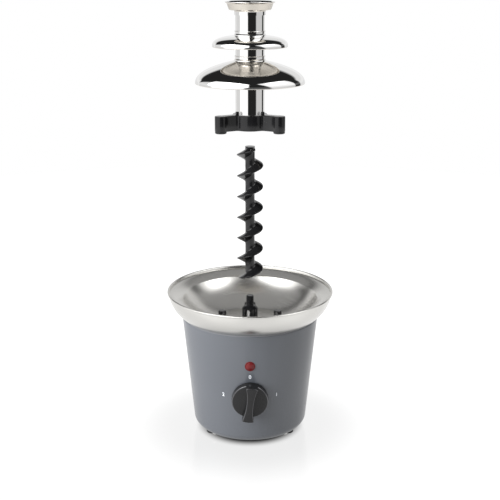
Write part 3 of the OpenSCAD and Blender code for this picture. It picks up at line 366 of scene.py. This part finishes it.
def turned(outline, closed=True, sides=192):
    """Mesh of an outline of (radius, height) points turned about the Z axis."""
    mesh = bmesh.new()
    rings = []
    for radius, height in outline:
        count = sides if radius > POLE else 1
        turns = [2 * math.pi * k / sides for k in range(count)]
        rings.append([mesh.verts.new((radius * math.cos(t), radius * math.sin(t), height)) for t in turns])
    skin(mesh, rings, closed)
    return mesh


def circle(mesh, radius, height, sides):
    """A ring of new vertices about the Z axis."""
    return [mesh.verts.new((x, y, height)) for x, y in arc((0, 0), radius, 0, 360, sides)[:-1]]


def loop_edges(mesh, loop):
    """The edges around a closed loop of vertices."""
    return [mesh.edges.get((loop[k - 1], loop[k])) for k in range(len(loop))]


def inset(outline, distance):
    """An anticlockwise outline moved inwards."""
    moved = []
    count = len(outline)
    for k, point in enumerate(outline):
        before = Vector(point) - Vector(outline[k - 1])
        after = Vector(outline[(k + 1) % count]) - Vector(point)
        sideways = before.normalized() + after.normalized()
        normal = Vector((-sideways.y, sideways.x)).normalized()
        lean = max(normal.dot(Vector((-after.y, after.x)).normalized()), MITRE)
        moved.append(tuple(Vector(point) + normal * (distance / lean)))
    return moved


def round_edge(radius, steps):
    """Pairs of inset and rise from the side of a prism to its rounded face."""
    turns = [math.pi / 2 * k / steps for k in range(steps + 1)]
    return [(radius * (1 - math.cos(t)), radius * (math.sin(t) - 1)) for t in turns]


def prism(outline, low, high, low_edge, high_edge, steps=4, bore=0.0):
    """Mesh of an upright prism with rounded edges and, where bore is set, a round hole."""
    bore_sides = 96
    mesh = bmesh.new()
    levels = [(distance, low - rise) for distance, rise in reversed(round_edge(low_edge, steps))]
    levels += [(distance, high + rise) for distance, rise in round_edge(high_edge, steps)]
    rings = []
    for distance, height in levels:
        rings.append([mesh.verts.new((x, y, height)) for x, y in inset(outline, distance)])
    skin(mesh, rings, closed=False)
    if bore:
        hole = [circle(mesh, bore, height, bore_sides) for height in (low, high)]
        skin(mesh, hole, closed=False)
        for rim, hole_rim in ((rings[0], hole[0]), (rings[-1], hole[1])):
            edges = loop_edges(mesh, rim) + loop_edges(mesh, hole_rim)
            bmesh.ops.triangle_fill(mesh, use_beauty=True, edges=edges)
    else:
        mesh.faces.new(rings[0])
        mesh.faces.new(rings[-1])
    return mesh


def stored(name, mesh):
    """Mesh data of a finished mesh, which is freed."""
    data = bpy.data.meshes.new(name)
    mesh.to_mesh(data)
    mesh.free()
    return data


def linked(name, data):
    """A new object of the scene."""
    made = bpy.data.objects.new(name, data)
    SCENE.collection.objects.link(made)
    return made


def evaluated(made):
    """Mesh of an object, with its text or its modifiers worked out."""
    depsgraph = bpy.context.evaluated_depsgraph_get()
    shape = bpy.data.meshes.new_from_object(made.evaluated_get(depsgraph))
    mesh = bmesh.new()
    mesh.from_mesh(shape)
    bpy.data.meshes.remove(shape)
    return mesh


def joined(*meshes):
    """One mesh of several."""
    whole = meshes[0]
    for other in meshes[1:]:
        data = stored("join", other)
        whole.from_mesh(data)
        bpy.data.meshes.remove(data)
    return whole


def bar(radius, low, high, place):
    """A round bar between two heights of a place."""
    mesh = turned([(0, low), (radius, low), (radius, high), (0, high)], closed=False, sides=48)
    mesh.transform(place)
    return mesh


def drilled(solid, bars):
    """A mesh with round bars cut out of it."""
    objects = []
    for mesh in (solid, joined(*bars)):
        bmesh.ops.recalc_face_normals(mesh, faces=mesh.faces)
        objects.append(linked("drill", stored("drill", mesh)))
    cut = objects[0].modifiers.new("cut", "BOOLEAN")
    cut.operation = "DIFFERENCE"
    cut.solver = "EXACT"
    cut.object = objects[1]
    result = evaluated(objects[0])
    for made in objects:
        bpy.data.meshes.remove(made.data)
    return result


def piece(name, mesh, slot, body, replaced=(), place=None, crease=35, finish=None):
    """A finished piece that moves with a body and stands for the solids it replaces."""
    bmesh.ops.recalc_face_normals(mesh, faces=mesh.faces)
    if place is not None:
        mesh.transform(place)
    data = stored(name, mesh)
    data.shade_smooth()
    data.set_sharp_from_angle(angle=math.radians(crease))
    data.materials.append(finish or FINISHES[slot])
    made = linked(name, data)
    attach(made, body)
    if replaced:
        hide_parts(*replaced)
    return made


def spin(turn):
    """A turn about the Z axis, in degrees."""
    return Matrix.Rotation(math.radians(turn), 4, "Z")


# Sizes read from the solids, and those that the solids share

HOUSING_LOW, HOUSING_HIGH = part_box("housing")
BOWL_LOW, BOWL_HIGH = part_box("bowl")
AUGER_LOW, AUGER_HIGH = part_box("auger")
FOOT_LOW, FOOT_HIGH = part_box("tower_foot")
TUBE_LOW, TUBE_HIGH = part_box("tower_tube")
LOWER_LOW, LOWER_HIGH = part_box("lower_tier")
MIDDLE_LOW, MIDDLE_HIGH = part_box("middle_tier")
CROWN_LOW, CROWN_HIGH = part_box("crown")

SHEET = 0.8 * MM
TUBE_FIT = 0.02 * MM
TUBE_BORE = TUBE_HIGH.x + TUBE_FIT
LEG_TURNS = (90, 210, 330)
LEG_RING = 35.5 * MM


def wall_radius(height):
    """Outer radius of the housing at a height."""
    return HOUSING_HIGH.x - WALL_TAPER * (HOUSING_HIGH.z - height)


def on_wall(height):
    """Place on the front of the wall, with +Z pointing out and +Y up."""
    out = Matrix.Translation((0, -wall_radius(height), height))
    return out @ Matrix.Rotation(math.pi / 2 + WALL_TILT, 4, "X")


# Bowl

def bowl():
    """A steel dish: flat floor, hollow sides, a rounded flange, a beaded rim and a full skirt."""
    bore = 6.2 * MM
    floor_edge = 34.3 * MM
    bend = 8 * MM
    # Slopes and the skirt's lean, in degrees
    low_slope = 12
    high_slope = 56
    flange_slope = 38
    rim_slope = 4
    skirt_lean = 9
    flange_bend = 26.2 * MM
    side_bend = 62 * MM
    shoulder = 4 * MM
    bead = 1.3 * MM
    rim_rise = 0.8 * MM
    skirt_inset = 1.1 * MM
    skirt_drop = 2.2 * MM
    skirt_lift = 1.4 * MM
    rim_radius = BOWL_HIGH.x
    rim = BOWL_HIGH.z + rim_rise
    skirt_top = (rim_radius - skirt_inset, rim - skirt_drop)
    skirt_end = (76.2 * MM, HOUSING_HIGH.z + skirt_lift)
    under = BOWL_LOW.z
    slope = math.radians(low_slope)

    def dish(depth):
        """Floor and hollow sides, a depth below the upper face."""
        z = under + SHEET
        corner = (floor_edge, z + bend)
        middle = (floor_edge - (side_bend - bend) * math.sin(slope),
                  z + bend + (side_bend - bend) * math.cos(slope))
        points = [(bore, z - depth)] + arc(corner, bend + depth, -90, low_slope - 90, steps=6)
        return points + arc(middle, side_bend + depth, low_slope - 90, high_slope - 90, steps=24)[1:]

    def skirt(depth):
        """The full outer side, a depth inside its face."""
        across = skirt_top[0] - skirt_end[0]
        chord = math.degrees(math.atan(across / (skirt_top[1] - skirt_end[1])))
        first = math.radians(skirt_lean)
        last = math.radians(2 * chord - skirt_lean)
        curve = across / (math.cos(first) - math.cos(last))
        middle = (skirt_top[0] - curve * math.cos(first), skirt_top[1] + curve * math.sin(first))
        return arc(middle, curve - depth, -skirt_lean, skirt_lean - 2 * chord, steps=32)

    face = dish(0)
    edge = Vector(face[-1])
    lean = math.radians(high_slope)
    tilt = math.radians(flange_slope)
    below = edge + shoulder * Vector((math.sin(lean), -math.cos(lean)))
    far_below = below + (flange_bend - shoulder) * Vector((math.sin(tilt), -math.cos(tilt)))

    def flange(depth):
        """Shoulder and flange, a depth below the upper face."""
        points = arc(below, shoulder - depth, 90 + high_slope, 90 + flange_slope, steps=4)
        points += arc(far_below, flange_bend - depth, 90 + flange_slope, 90 + rim_slope, steps=16)[1:]
        return points

    face += flange(0)[1:]
    face += arc((rim_radius - bead, rim - bead), bead, 150, -60, steps=14)
    face += skirt(0)
    back = [(skirt_end[0] - SHEET, skirt_end[1])] + list(reversed(skirt(SHEET)))[1:]
    back += list(reversed(flange(SHEET)))
    back += list(reversed(dish(SHEET)[:-1]))
    return piece("bowl_shell", turned(face + back, sides=256), "bowl_steel", "base", ["bowl"])


bowl_shell = bowl()


# Tower

def dome(name, low, high, height, fullness, bluntness, node):
    """A plated dome with an upright edge and a stepped, beaded collar."""
    band = TUBE_BORE + 0.5 * MM
    band_rise = 2.3 * MM
    shoulder = TUBE_BORE + 1.3 * MM
    shoulder_rises = (0.5 * MM, 1.3 * MM)
    shoulder_gap = 0.3 * MM
    bead = 0.4 * MM
    hem = 0.75 * MM
    steps = 56
    edge_radius = high.x
    top = high.z

    def line(radius, rise, to_radius):
        """Points up a face of the dome, from its edge to a radius."""
        end = math.acos((to_radius / radius) ** (fullness / 2))
        points = []
        for k in range(steps + 1):
            t = end * k / steps
            along = radius * math.cos(t) ** (2 / fullness)
            points.append((along, low.z + rise * math.sin(t) ** (2 / bluntness)))
        return points

    outside = line(edge_radius, height, shoulder + shoulder_gap)
    inside = line(edge_radius - SHEET, height - SHEET, TUBE_BORE)
    foot = outside[-1][1]
    outline = [inside[0]] + arc((edge_radius - hem, low.z + hem), hem, -90, 0)
    outline += outside[1:]
    outline += [(shoulder, foot + rise) for rise in shoulder_rises] + [(band, foot + band_rise)]
    outline += arc((band, top - bead), bead, -90, 90)
    outline += [(TUBE_BORE, top)] + list(reversed(inside))[:-1]
    piece(name, turned(outline, sides=256), "tower_chrome", "tower", [node])


dome("lower_dome", LOWER_LOW, LOWER_HIGH, node="lower_tier",
     height=26.4 * MM, fullness=1.2, bluntness=2.3)
dome("middle_dome", MIDDLE_LOW, MIDDLE_HIGH, node="middle_tier",
     height=12 * MM, fullness=2.4, bluntness=3.0)


def crown():
    """The cup on top: a flared wall with a rolled rim, on a collar around the tube."""
    collar = TUBE_BORE + 1.0 * MM
    low = CROWN_LOW.z
    floor_z = low + 5 * MM
    bottom = 22.4 * MM
    rim = CROWN_HIGH.x
    top = CROWN_HIGH.z
    bend = 1.6 * MM
    bead = 0.6 * MM
    wall_lean = 15
    wall_top = (24.3 * MM, top - 2.0 * MM)
    wall_shift = (0.3 * SHEET, 0.6 * SHEET)
    corner = (bottom - bend, floor_z + bend)
    inner_corner = (corner[0] - wall_shift[0], corner[1] + wall_shift[1])
    outline = [(TUBE_BORE, low), (collar, low), (collar, floor_z - bend)]
    outline += arc((collar + bend, floor_z - bend), bend, 180, 90, steps=6)
    outline += arc(corner, bend, -90, -wall_lean)
    outline += [wall_top] + arc((rim - bead, top - bead), bead, -60, 150, steps=12)
    outline += [(wall_top[0] - SHEET, wall_top[1] + SHEET / 2)]
    outline += arc(inner_corner, bend, -wall_lean, -90)
    outline += [(TUBE_BORE, floor_z + SHEET)]
    piece("crown_cup", turned(outline), "tower_chrome", "tower", ["crown"])


crown()


def tube():
    """A thin plated tube with broken edges."""
    wall = 0.6 * MM
    edge = 0.15 * MM
    outer = TUBE_HIGH.x
    outline = [(outer - wall, TUBE_LOW.z), (outer - edge, TUBE_LOW.z), (outer, TUBE_LOW.z + edge)]
    outline += [(outer, TUBE_HIGH.z - edge), (outer - edge, TUBE_HIGH.z), (outer - wall, TUBE_HIGH.z)]
    piece("tube", turned(outline), "tower_chrome", "tower", ["tower_tube"])


tube()


def foot_outline(hub, arm, leg, fillet):
    """Outline of hub, arms and legs with hollow fillets, anticlockwise."""
    half = arm / 2
    reach = math.sqrt((hub + fillet) ** 2 - (half + fillet) ** 2)
    lean = math.degrees(math.atan2(half + fillet, reach))
    leg_turn = math.degrees(math.asin(half / leg))
    third = arc((reach, -half - fillet), fillet, 180 - lean, 90, steps=6)
    third += arc((LEG_RING, 0), leg, leg_turn - 180, 180 - leg_turn, steps=24)
    third += arc((reach, half + fillet), fillet, 270, 180 + lean, steps=6)
    third += arc((0, 0), hub, lean, 120 - lean, steps=16)[1:-1]
    points = []
    for turn in LEG_TURNS:
        swing = Matrix.Rotation(math.radians(turn), 2)
        points += [tuple(swing @ Vector(point)) for point in third]
    return points


def tower_foot():
    """A hub on three arms with drilled legs, and a clip on the tube above each arm."""
    hub = 18.5 * MM
    arm = 10 * MM
    leg = 6.4 * MM
    fillet = 3 * MM
    clear = 2 * MM
    height = 18.5 * MM
    edge = 0.9 * MM
    pad = leg - 0.2 * MM
    socket = 4.6 * MM
    socket_depth = 10.6 * MM
    mouth = socket - 0.02 * MM
    mouth_edge = 0.3 * MM
    clip_depth = 1.4 * MM
    clip_half = 1.5 * MM
    clip_edges = (0.3 * MM, 0.5 * MM)
    bottom = FOOT_LOW.z
    pad_top = bottom + clear + edge
    clip_face = TUBE_BORE + clip_depth
    clip = [(TUBE_BORE, -clip_half), (clip_face, -clip_half)]
    clip += [(clip_face, clip_half), (TUBE_BORE, clip_half)]
    ring = [(mouth, pad_top), (mouth, bottom + mouth_edge), (mouth + mouth_edge, bottom)]
    ring += arc((pad - edge, bottom + edge), edge, -90, 0, steps=5) + [(pad, pad_top)]
    places = [spin(turn) @ Matrix.Translation((LEG_RING, 0, 0)) for turn in LEG_TURNS]
    outline = foot_outline(hub, arm, leg, fillet)
    body = prism(outline, bottom + clear, bottom + height, edge, edge, bore=TUBE_BORE)
    meshes = [drilled(body, [bar(socket, bottom, bottom + socket_depth, place) for place in places])]
    for turn, place in zip(LEG_TURNS, places):
        leg_pad = turned(ring, sides=64)
        leg_pad.transform(place)
        tab = prism(clip, bottom + height - edge, FOOT_HIGH.z, *clip_edges)
        tab.transform(spin(turn))
        meshes += [leg_pad, tab]
    piece("three_legged_foot", joined(*meshes), "black_plastic", "tower", ["tower_foot"])


tower_foot()


# Auger

def auger():
    """A shaft and one flight, swept as a single skin and cut flush at both ends."""
    shaft = 5.2 * MM
    flight = 14.4 * MM
    pitch = 23.24 * MM
    root = 4 * MM
    edge = 0.9 * MM
    hollow = 1.4 * MM
    tip = 0.8 * MM
    bore = 4.3 * MM
    bore_depth = 13 * MM
    bore_sides = 48
    # Where the flight starts and how early it ends, in degrees
    start = 222
    early_end = 12
    # Rows of points in a turn, rows over which the flight fades, and turns beyond each end
    per_turn = 60
    fade = 3
    spare = 1.6
    cut_slack = 1e-7
    end_slack = 0.1 * MM
    # Shares of the hollow at the flight's root and of its tip and edge, from the shaft outwards
    hollow_shares = ((0.25, -0.9), (0.7, -0.25), (1.6, 0.1))
    tip_shares = ((1, 1), (0.3, 0.72), (0, 0.2))
    section = [(shaft, -pitch / 2), (shaft, -root - 2 * hollow)]
    section += [(shaft + out * hollow, -root + up * hollow) for out, up in hollow_shares]
    section += [(flight - back * tip, -half * edge) for back, half in tip_shares]
    section += [(radius, -rise) for radius, rise in reversed(section[1:])]
    turns = (AUGER_HIGH.z - AUGER_LOW.z) / pitch
    first = -int(spare * per_turn)
    last = int((turns + spare) * per_turn)
    flight_end = turns * per_turn - early_end / 360 * per_turn
    mesh = bmesh.new()
    rows = {}
    for k in range(first, last + 1):
        turn = math.radians(start) + 2 * math.pi * k / per_turn
        rise = AUGER_LOW.z + pitch * k / per_turn
        share = min(max((flight_end - k) / fade, 0), 1)
        points = [(shaft + share * (radius - shaft), rise + height) for radius, height in section]
        rows[k] = [mesh.verts.new((r * math.cos(turn), r * math.sin(turn), z)) for r, z in points]
    for k in range(first, last - per_turn):
        low = rows[k] + [rows[k + per_turn][0]]
        high = rows[k + 1] + [rows[k + per_turn + 1][0]]
        for j in range(len(section)):
            mesh.faces.new((low[j], high[j], high[j + 1], low[j + 1]))
    for height, way in ((AUGER_LOW.z, -1), (AUGER_HIGH.z, 1)):
        everything = mesh.verts[:] + mesh.edges[:] + mesh.faces[:]
        bmesh.ops.bisect_plane(mesh, geom=everything, plane_co=(0, 0, height), plane_no=(0, 0, way),
                               clear_outer=True, dist=cut_slack)
    loose = [vertex for vertex in mesh.verts if not vertex.link_faces]
    bmesh.ops.delete(mesh, geom=loose, context="VERTS")
    rim = [side for side in mesh.edges if side.is_boundary]
    top = [side for side in rim if side.verts[0].co.z > AUGER_HIGH.z - end_slack]
    bottom = [side for side in rim if side.verts[0].co.z < AUGER_LOW.z + end_slack]
    bmesh.ops.triangle_fill(mesh, use_beauty=True, edges=top)
    hole = [circle(mesh, bore, AUGER_LOW.z + depth, bore_sides) for depth in (0, bore_depth)]
    skin(mesh, hole, closed=False)
    mesh.faces.new(hole[1])
    bottom += loop_edges(mesh, hole[0])
    bmesh.ops.triangle_fill(mesh, use_beauty=True, edges=bottom)
    piece("screw_auger", mesh, "black_plastic", "auger", ["auger"], crease=40)


auger()


# Knob

KNOB_Z = 61.5 * MM
KNOB_RADIUS = 20 * MM
KNOB_GAP = 0.8 * MM
KNOB_DISC = 7.5 * MM
GRIP_RISE = 9 * MM
GRIP_OVER = 1 * MM
GRIP_TURN = 6.5


def grip_outline():
    """Hourglass: ends on the knob's round, sides scooped, anticlockwise."""
    end_half = 6.4 * MM
    waist_half = 3.7 * MM
    reach = KNOB_RADIUS + GRIP_OVER
    length = math.sqrt(reach ** 2 - end_half ** 2)
    scoop = end_half - waist_half
    scoop_radius = (length ** 2 + scoop ** 2) / (2 * scoop)
    sweep = math.degrees(math.asin(length / scoop_radius))
    end_turn = math.degrees(math.asin(end_half / reach))
    right = arc((waist_half + scoop_radius, 0), scoop_radius, 180 + sweep, 180 - sweep, steps=24)
    left = arc((-waist_half - scoop_radius, 0), scoop_radius, sweep, -sweep, steps=24)
    top = arc((0, 0), reach, 90 - end_turn, 90 + end_turn)[1:-1]
    low = arc((0, 0), reach, 270 - end_turn, 270 + end_turn)[1:-1]
    return right + top + left + low


def knob():
    """A disc with a recess behind it and an hourglass grip on its face."""
    rim = 1.6 * MM
    back_edge = 0.5 * MM
    draft = 0.3 * MM
    recess = (9.5 * MM, 3.4 * MM)
    grip_sink = 0.6 * MM
    grip_edges = (0.1 * MM, 1.1 * MM)
    place = on_wall(KNOB_Z)
    face = KNOB_GAP + KNOB_DISC
    outline = [(0, recess[1]), recess, (recess[0], KNOB_GAP)]
    outline += arc((KNOB_RADIUS - back_edge, KNOB_GAP + back_edge), back_edge, -90, 0, steps=4)
    outline += arc((KNOB_RADIUS - draft - rim, face - rim), rim, 0, 90)
    outline += [(0, face)]
    disc = turned(outline, closed=False, sides=128)
    grip = prism(grip_outline(), face - grip_sink, face + GRIP_RISE, *grip_edges, steps=5)
    grip.transform(spin(-GRIP_TURN))
    piece("knob_with_grip", joined(disc, grip), "knob_plastic", "knob", ["knob"], place, crease=40)


knob()


# Lamp

LAMP_Z = 100.2 * MM


def lamp():
    """A red cap: a shallow dome in a flange, with a groove between them."""
    flange = 5.6 * MM
    flange_edge = 0.4 * MM
    sink = 0.5 * MM
    dome_edge = 4.7 * MM
    rise = 2.0 * MM
    base = 0.8 * MM
    groove = (0.3 * MM, 0.6 * MM)
    place = on_wall(LAMP_Z)
    outline = [(0, -sink), (flange, -sink)]
    outline += arc((flange - flange_edge, base - flange_edge), flange_edge, 0, 90, steps=4)
    outline += [(dome_edge + groove[0], base), (dome_edge, base - groove[1])]
    ball = (dome_edge ** 2 + (rise - base) ** 2) / (2 * (rise - base))
    sweep = math.degrees(math.asin(dome_edge / ball))
    outline += arc((0, rise - ball), ball, 90 - sweep, 90, steps=12)
    piece("lamp_cap", turned(outline, closed=False, sides=96), "lamp_red", "base", ["lamp_lens"], place)


lamp()


# Housing

FOOT_RING = 51 * MM
SCREW_RING = 54.5 * MM
SCREW_TURNS = (45, 135, 225, 315)
GLAND_Z = 30 * MM


def housing():
    """A tapered wall with a wide curve at its foot, a service opening and three foot pads."""
    wall = 2.6 * MM
    floor_thick = 4 * MM
    edge = 0.4 * MM
    across = 14 * MM
    rise = 11 * MM
    opening = 36 * MM
    ledge = (46 * MM, 2 * MM)
    head = (3.8 * MM, 3.4 * MM)
    pad = (5.7 * MM, 2.5 * MM)
    through = 8 * MM
    knob_hole = 4.7 * MM
    lamp_hole = 4.5 * MM
    gland_hole = 6.2 * MM
    steps = 18
    low = HOUSING_LOW.z
    top = HOUSING_HIGH.z
    flat_end = wall_radius(low + rise) - across

    def curve(reach, up):
        """A quarter of an ellipse from the floor up to the wall."""
        turns = [math.radians(90 * k / steps) for k in range(steps + 1)]
        return [(flat_end + reach * math.sin(t), low + rise - up * math.cos(t)) for t in turns]

    outline = [(ledge[0], low)] + curve(across, rise)
    outline += arc((HOUSING_HIGH.x - edge, top - edge), edge, 0, 90, steps=4)
    outline += [(HOUSING_HIGH.x - wall, top)]
    outline += list(reversed(curve(across - wall, rise - floor_thick)))
    outline += [(opening, low + floor_thick), (opening, low + ledge[1]), (ledge[0], low + ledge[1])]
    holes = [
        (knob_hole, on_wall(KNOB_Z)),
        (lamp_hole, on_wall(LAMP_Z)),
        (gland_hole, spin(180) @ on_wall(GLAND_Z)),
    ]
    bars = [bar(radius, -through, through, place) for radius, place in holes]
    for turn in SCREW_TURNS:
        bars.append(bar(head[0], 0, low + head[1], spin(turn) @ Matrix.Translation((SCREW_RING, 0, 0))))
    shell = drilled(turned(outline, sides=256), bars)
    feet = [spin(turn) @ Matrix.Translation((FOOT_RING, 0, 0)) for turn in LEG_TURNS]
    pads = [bar(pad[0], low, low + pad[1], foot) for foot in feet]
    piece("housing_shell", joined(shell, *pads), "housing_plastic", "base", ["housing"])


housing()


# Numbers around the knob

NUMBER_HEIGHT = 4.2 * MM
# Height of a digit as a share of its font's size
DIGIT_SHARE = 0.7
NUMBER_RAISE = 0.06 * MM
NUMBER_SINK = 0.05 * MM
NUMBERS = (
    ("0", 0 * MM, 87 * MM),
    ("1", 29 * MM, 63 * MM),
    ("2", -29 * MM, 63 * MM),
)


def number(text, aside, height):
    """A flat printed number that follows the wall."""
    curve = bpy.data.curves.new("number", "FONT")
    curve.body = text
    curve.align_x = "CENTER"
    curve.align_y = "CENTER"
    curve.size = NUMBER_HEIGHT / DIGIT_SHARE
    curve.extrude = (NUMBER_RAISE + NUMBER_SINK) / 2
    flat = linked("number", curve)
    mesh = evaluated(flat)
    bpy.data.objects.remove(flat)
    bpy.data.curves.remove(curve)
    middle = math.asin(aside / wall_radius(height))
    for vertex in mesh.verts:
        u, v, w = vertex.co
        z = height + v * math.cos(WALL_TILT)
        radius = wall_radius(z) + w + (NUMBER_RAISE - NUMBER_SINK) / 2
        turn = middle + u / radius
        vertex.co = (radius * math.sin(turn), -radius * math.cos(turn), z)
    piece("number_" + text, mesh, "housing_plastic", "base", finish=INK)


for row in NUMBERS:
    number(*row)


# Studio: a pale floor, a soft box at each side, a backdrop and a dark ceiling

FLOOR_RADIUS = 1.5
# Shares of the floor's glow, each growing between two distances from the axis
FLOOR_GLOW = (
    (0.80, 0.046, 0.064),
    (0.2, 0.08, 0.17),
    (0.15, 0.17, 0.4),
)


def floor():
    """A round glossy table top that glows a little, away from the part."""
    mesh = turned([(FLOOR_RADIUS, 0), (0, 0)], closed=False, sides=96)
    data = stored("floor", mesh)
    finish = Finish("floor", IOR=1.45, Emission_Strength=1.0)
    place = finish.place()
    cloud = finish.noise(6.0, 2.0, place)
    radius = finish.length(place)
    glow = sum(share * radius.step(low, high) for share, low, high in FLOOR_GLOW)
    finish.feed("Base Color", finish.blend(cloud, rgb(0.02, 0.02, 0.02), rgb(0.025, 0.025, 0.025)))
    finish.feed("Roughness", 0.16 + 0.04 * cloud)
    finish.feed("Emission Color", finish.blend(glow, rgb(0, 0, 0), rgb(1, 1, 1)))
    data.materials.append(finish.material)
    made = linked("floor", data)


floor()


class Panel:
    """An upright panel far away, facing the part from a direction in degrees, 0 towards -Y."""

    def __init__(self, way, turn):
        x, y, z = way
        sine = math.sin(math.radians(turn))
        cosine = math.cos(math.radians(turn))
        ahead = x * sine - y * cosine
        self.front = ahead.step(0.0, 0.04)
        self.across = (x * cosine + y * sine) / ahead
        self.up = z / ahead

    def light(self, left, right, top, soft):
        """1 on the panel, between its sides and below its top."""
        inside = (self.across - left).step(-soft, soft) * (right - self.across).step(-soft, soft)
        return self.front * inside * (top - self.up).step(-soft, soft)


# Directions of the panels, in degrees
LEFT_TURN = -48
RIGHT_TURN = 60
BACK_TURN = 166
# How brightly each of them shines; the second value of a pair is added higher up
AMBIENT = 0.018
HAZE = 0.09
LEFT_WING = 0.72
LEFT_BOX = (1.25, 0.4)
LEFT_LAMP = 4.0
RIGHT_BOX = (0.62, 0.45)
RIGHT_LAMP = 3.0
BACKDROP = 0.8
# Where the boxes brighten and the lamps begin, as rise over distance
BOX_FADE = (0.05, 0.4)
LAMP_FADE = (0.5, 0.9)


def room():
    """World light: panels around the part, and plain white behind it for the camera."""
    world = bpy.data.worlds.new("room")
    world.use_nodes = True
    SCENE.world = world
    nodes = Nodes(world.node_tree)
    split = nodes.add("SeparateXYZ", None, {0: nodes.add("TexCoord", out="Generated")})
    way = [Value(nodes, socket) for socket in split.socket.node.outputs]
    left = Panel(way, LEFT_TURN)
    right = Panel(way, RIGHT_TURN)
    back = Panel(way, BACK_TURN)
    left_edge = -0.75 - 0.6 * left.up.step(0.0, 0.35)
    left_end = 0.60 + 0.40 * left.up.step(0.0, 0.4)
    right_edge = -0.23 - 0.39 * right.up
    left_box = left.light(left_edge, left_end, top=1.6, soft=0.08)
    left_lamp = left.light(-0.6, 0.5, top=1.4, soft=0.2) * left.up.step(*LAMP_FADE)
    left_wing = left.light(-14.0, left_edge, top=1.2, soft=0.08)
    right_box = right.light(right_edge, 1.15, top=1.6, soft=0.08)
    right_lamp = right.light(-0.2, 0.6, top=1.4, soft=0.2) * right.up.step(*LAMP_FADE)
    backdrop = back.light(-0.73, 1.8, top=0.62, soft=0.10)
    haze = way[2].between(0.05, 0.24, soft=0.04)
    seen = AMBIENT + HAZE * haze + LEFT_WING * left_wing + LEFT_LAMP * left_lamp + BACKDROP * backdrop
    seen = seen + left_box * (LEFT_BOX[0] + LEFT_BOX[1] * left.up.step(*BOX_FADE))
    seen = seen + right_box * (RIGHT_BOX[0] + RIGHT_BOX[1] * right.up.step(*BOX_FADE))
    seen = seen + RIGHT_LAMP * right_lamp
    camera = nodes.add("LightPath", out="Is Camera Ray")
    background = world.node_tree.nodes["Background"]
    nodes.put(background.inputs["Color"], (1, 1, 1, 1))
    nodes.put(background.inputs["Strength"], camera + (1 - camera) * seen)


room()


def soft_light(name, at, aim, size, watts, mirrored=False):
    """An oblong soft light, which mirrors see only where that is set."""
    data = bpy.data.lights.new(name, "AREA")
    data.shape = "RECTANGLE"
    data.size, data.size_y = size
    data.energy = watts
    made = linked(name, data)
    made.location = at
    made.rotation_euler = (Vector(aim) - Vector(at)).to_track_quat("-Z", "Y").to_euler()
    made.visible_glossy = mirrored
    return made


soft_light("top", at=(0.0, 0.0, 2.4), aim=(0, 0, 0), size=(1.8, 1.8), watts=12)
soft_light("left", at=(-1.6, -1.0, 0.7), aim=(0, 0, 0.1), size=(0.9, 0.9), watts=72)


def bowl_light():
    """A dim ceiling panel that only the bowl sees."""
    at = (0.0, 0.75, 1.7)
    panel = soft_light("over_bowl", at, aim=(0, 0.75, 0), size=(4.2, 2.25), watts=9.6, mirrored=True)
    lit = bpy.data.collections.new("over_bowl_lit")
    lit.objects.link(bowl_shell)
    panel.light_linking.receiver_collection = lit


bowl_light()

SCENE.view_settings.view_transform = "Standard"
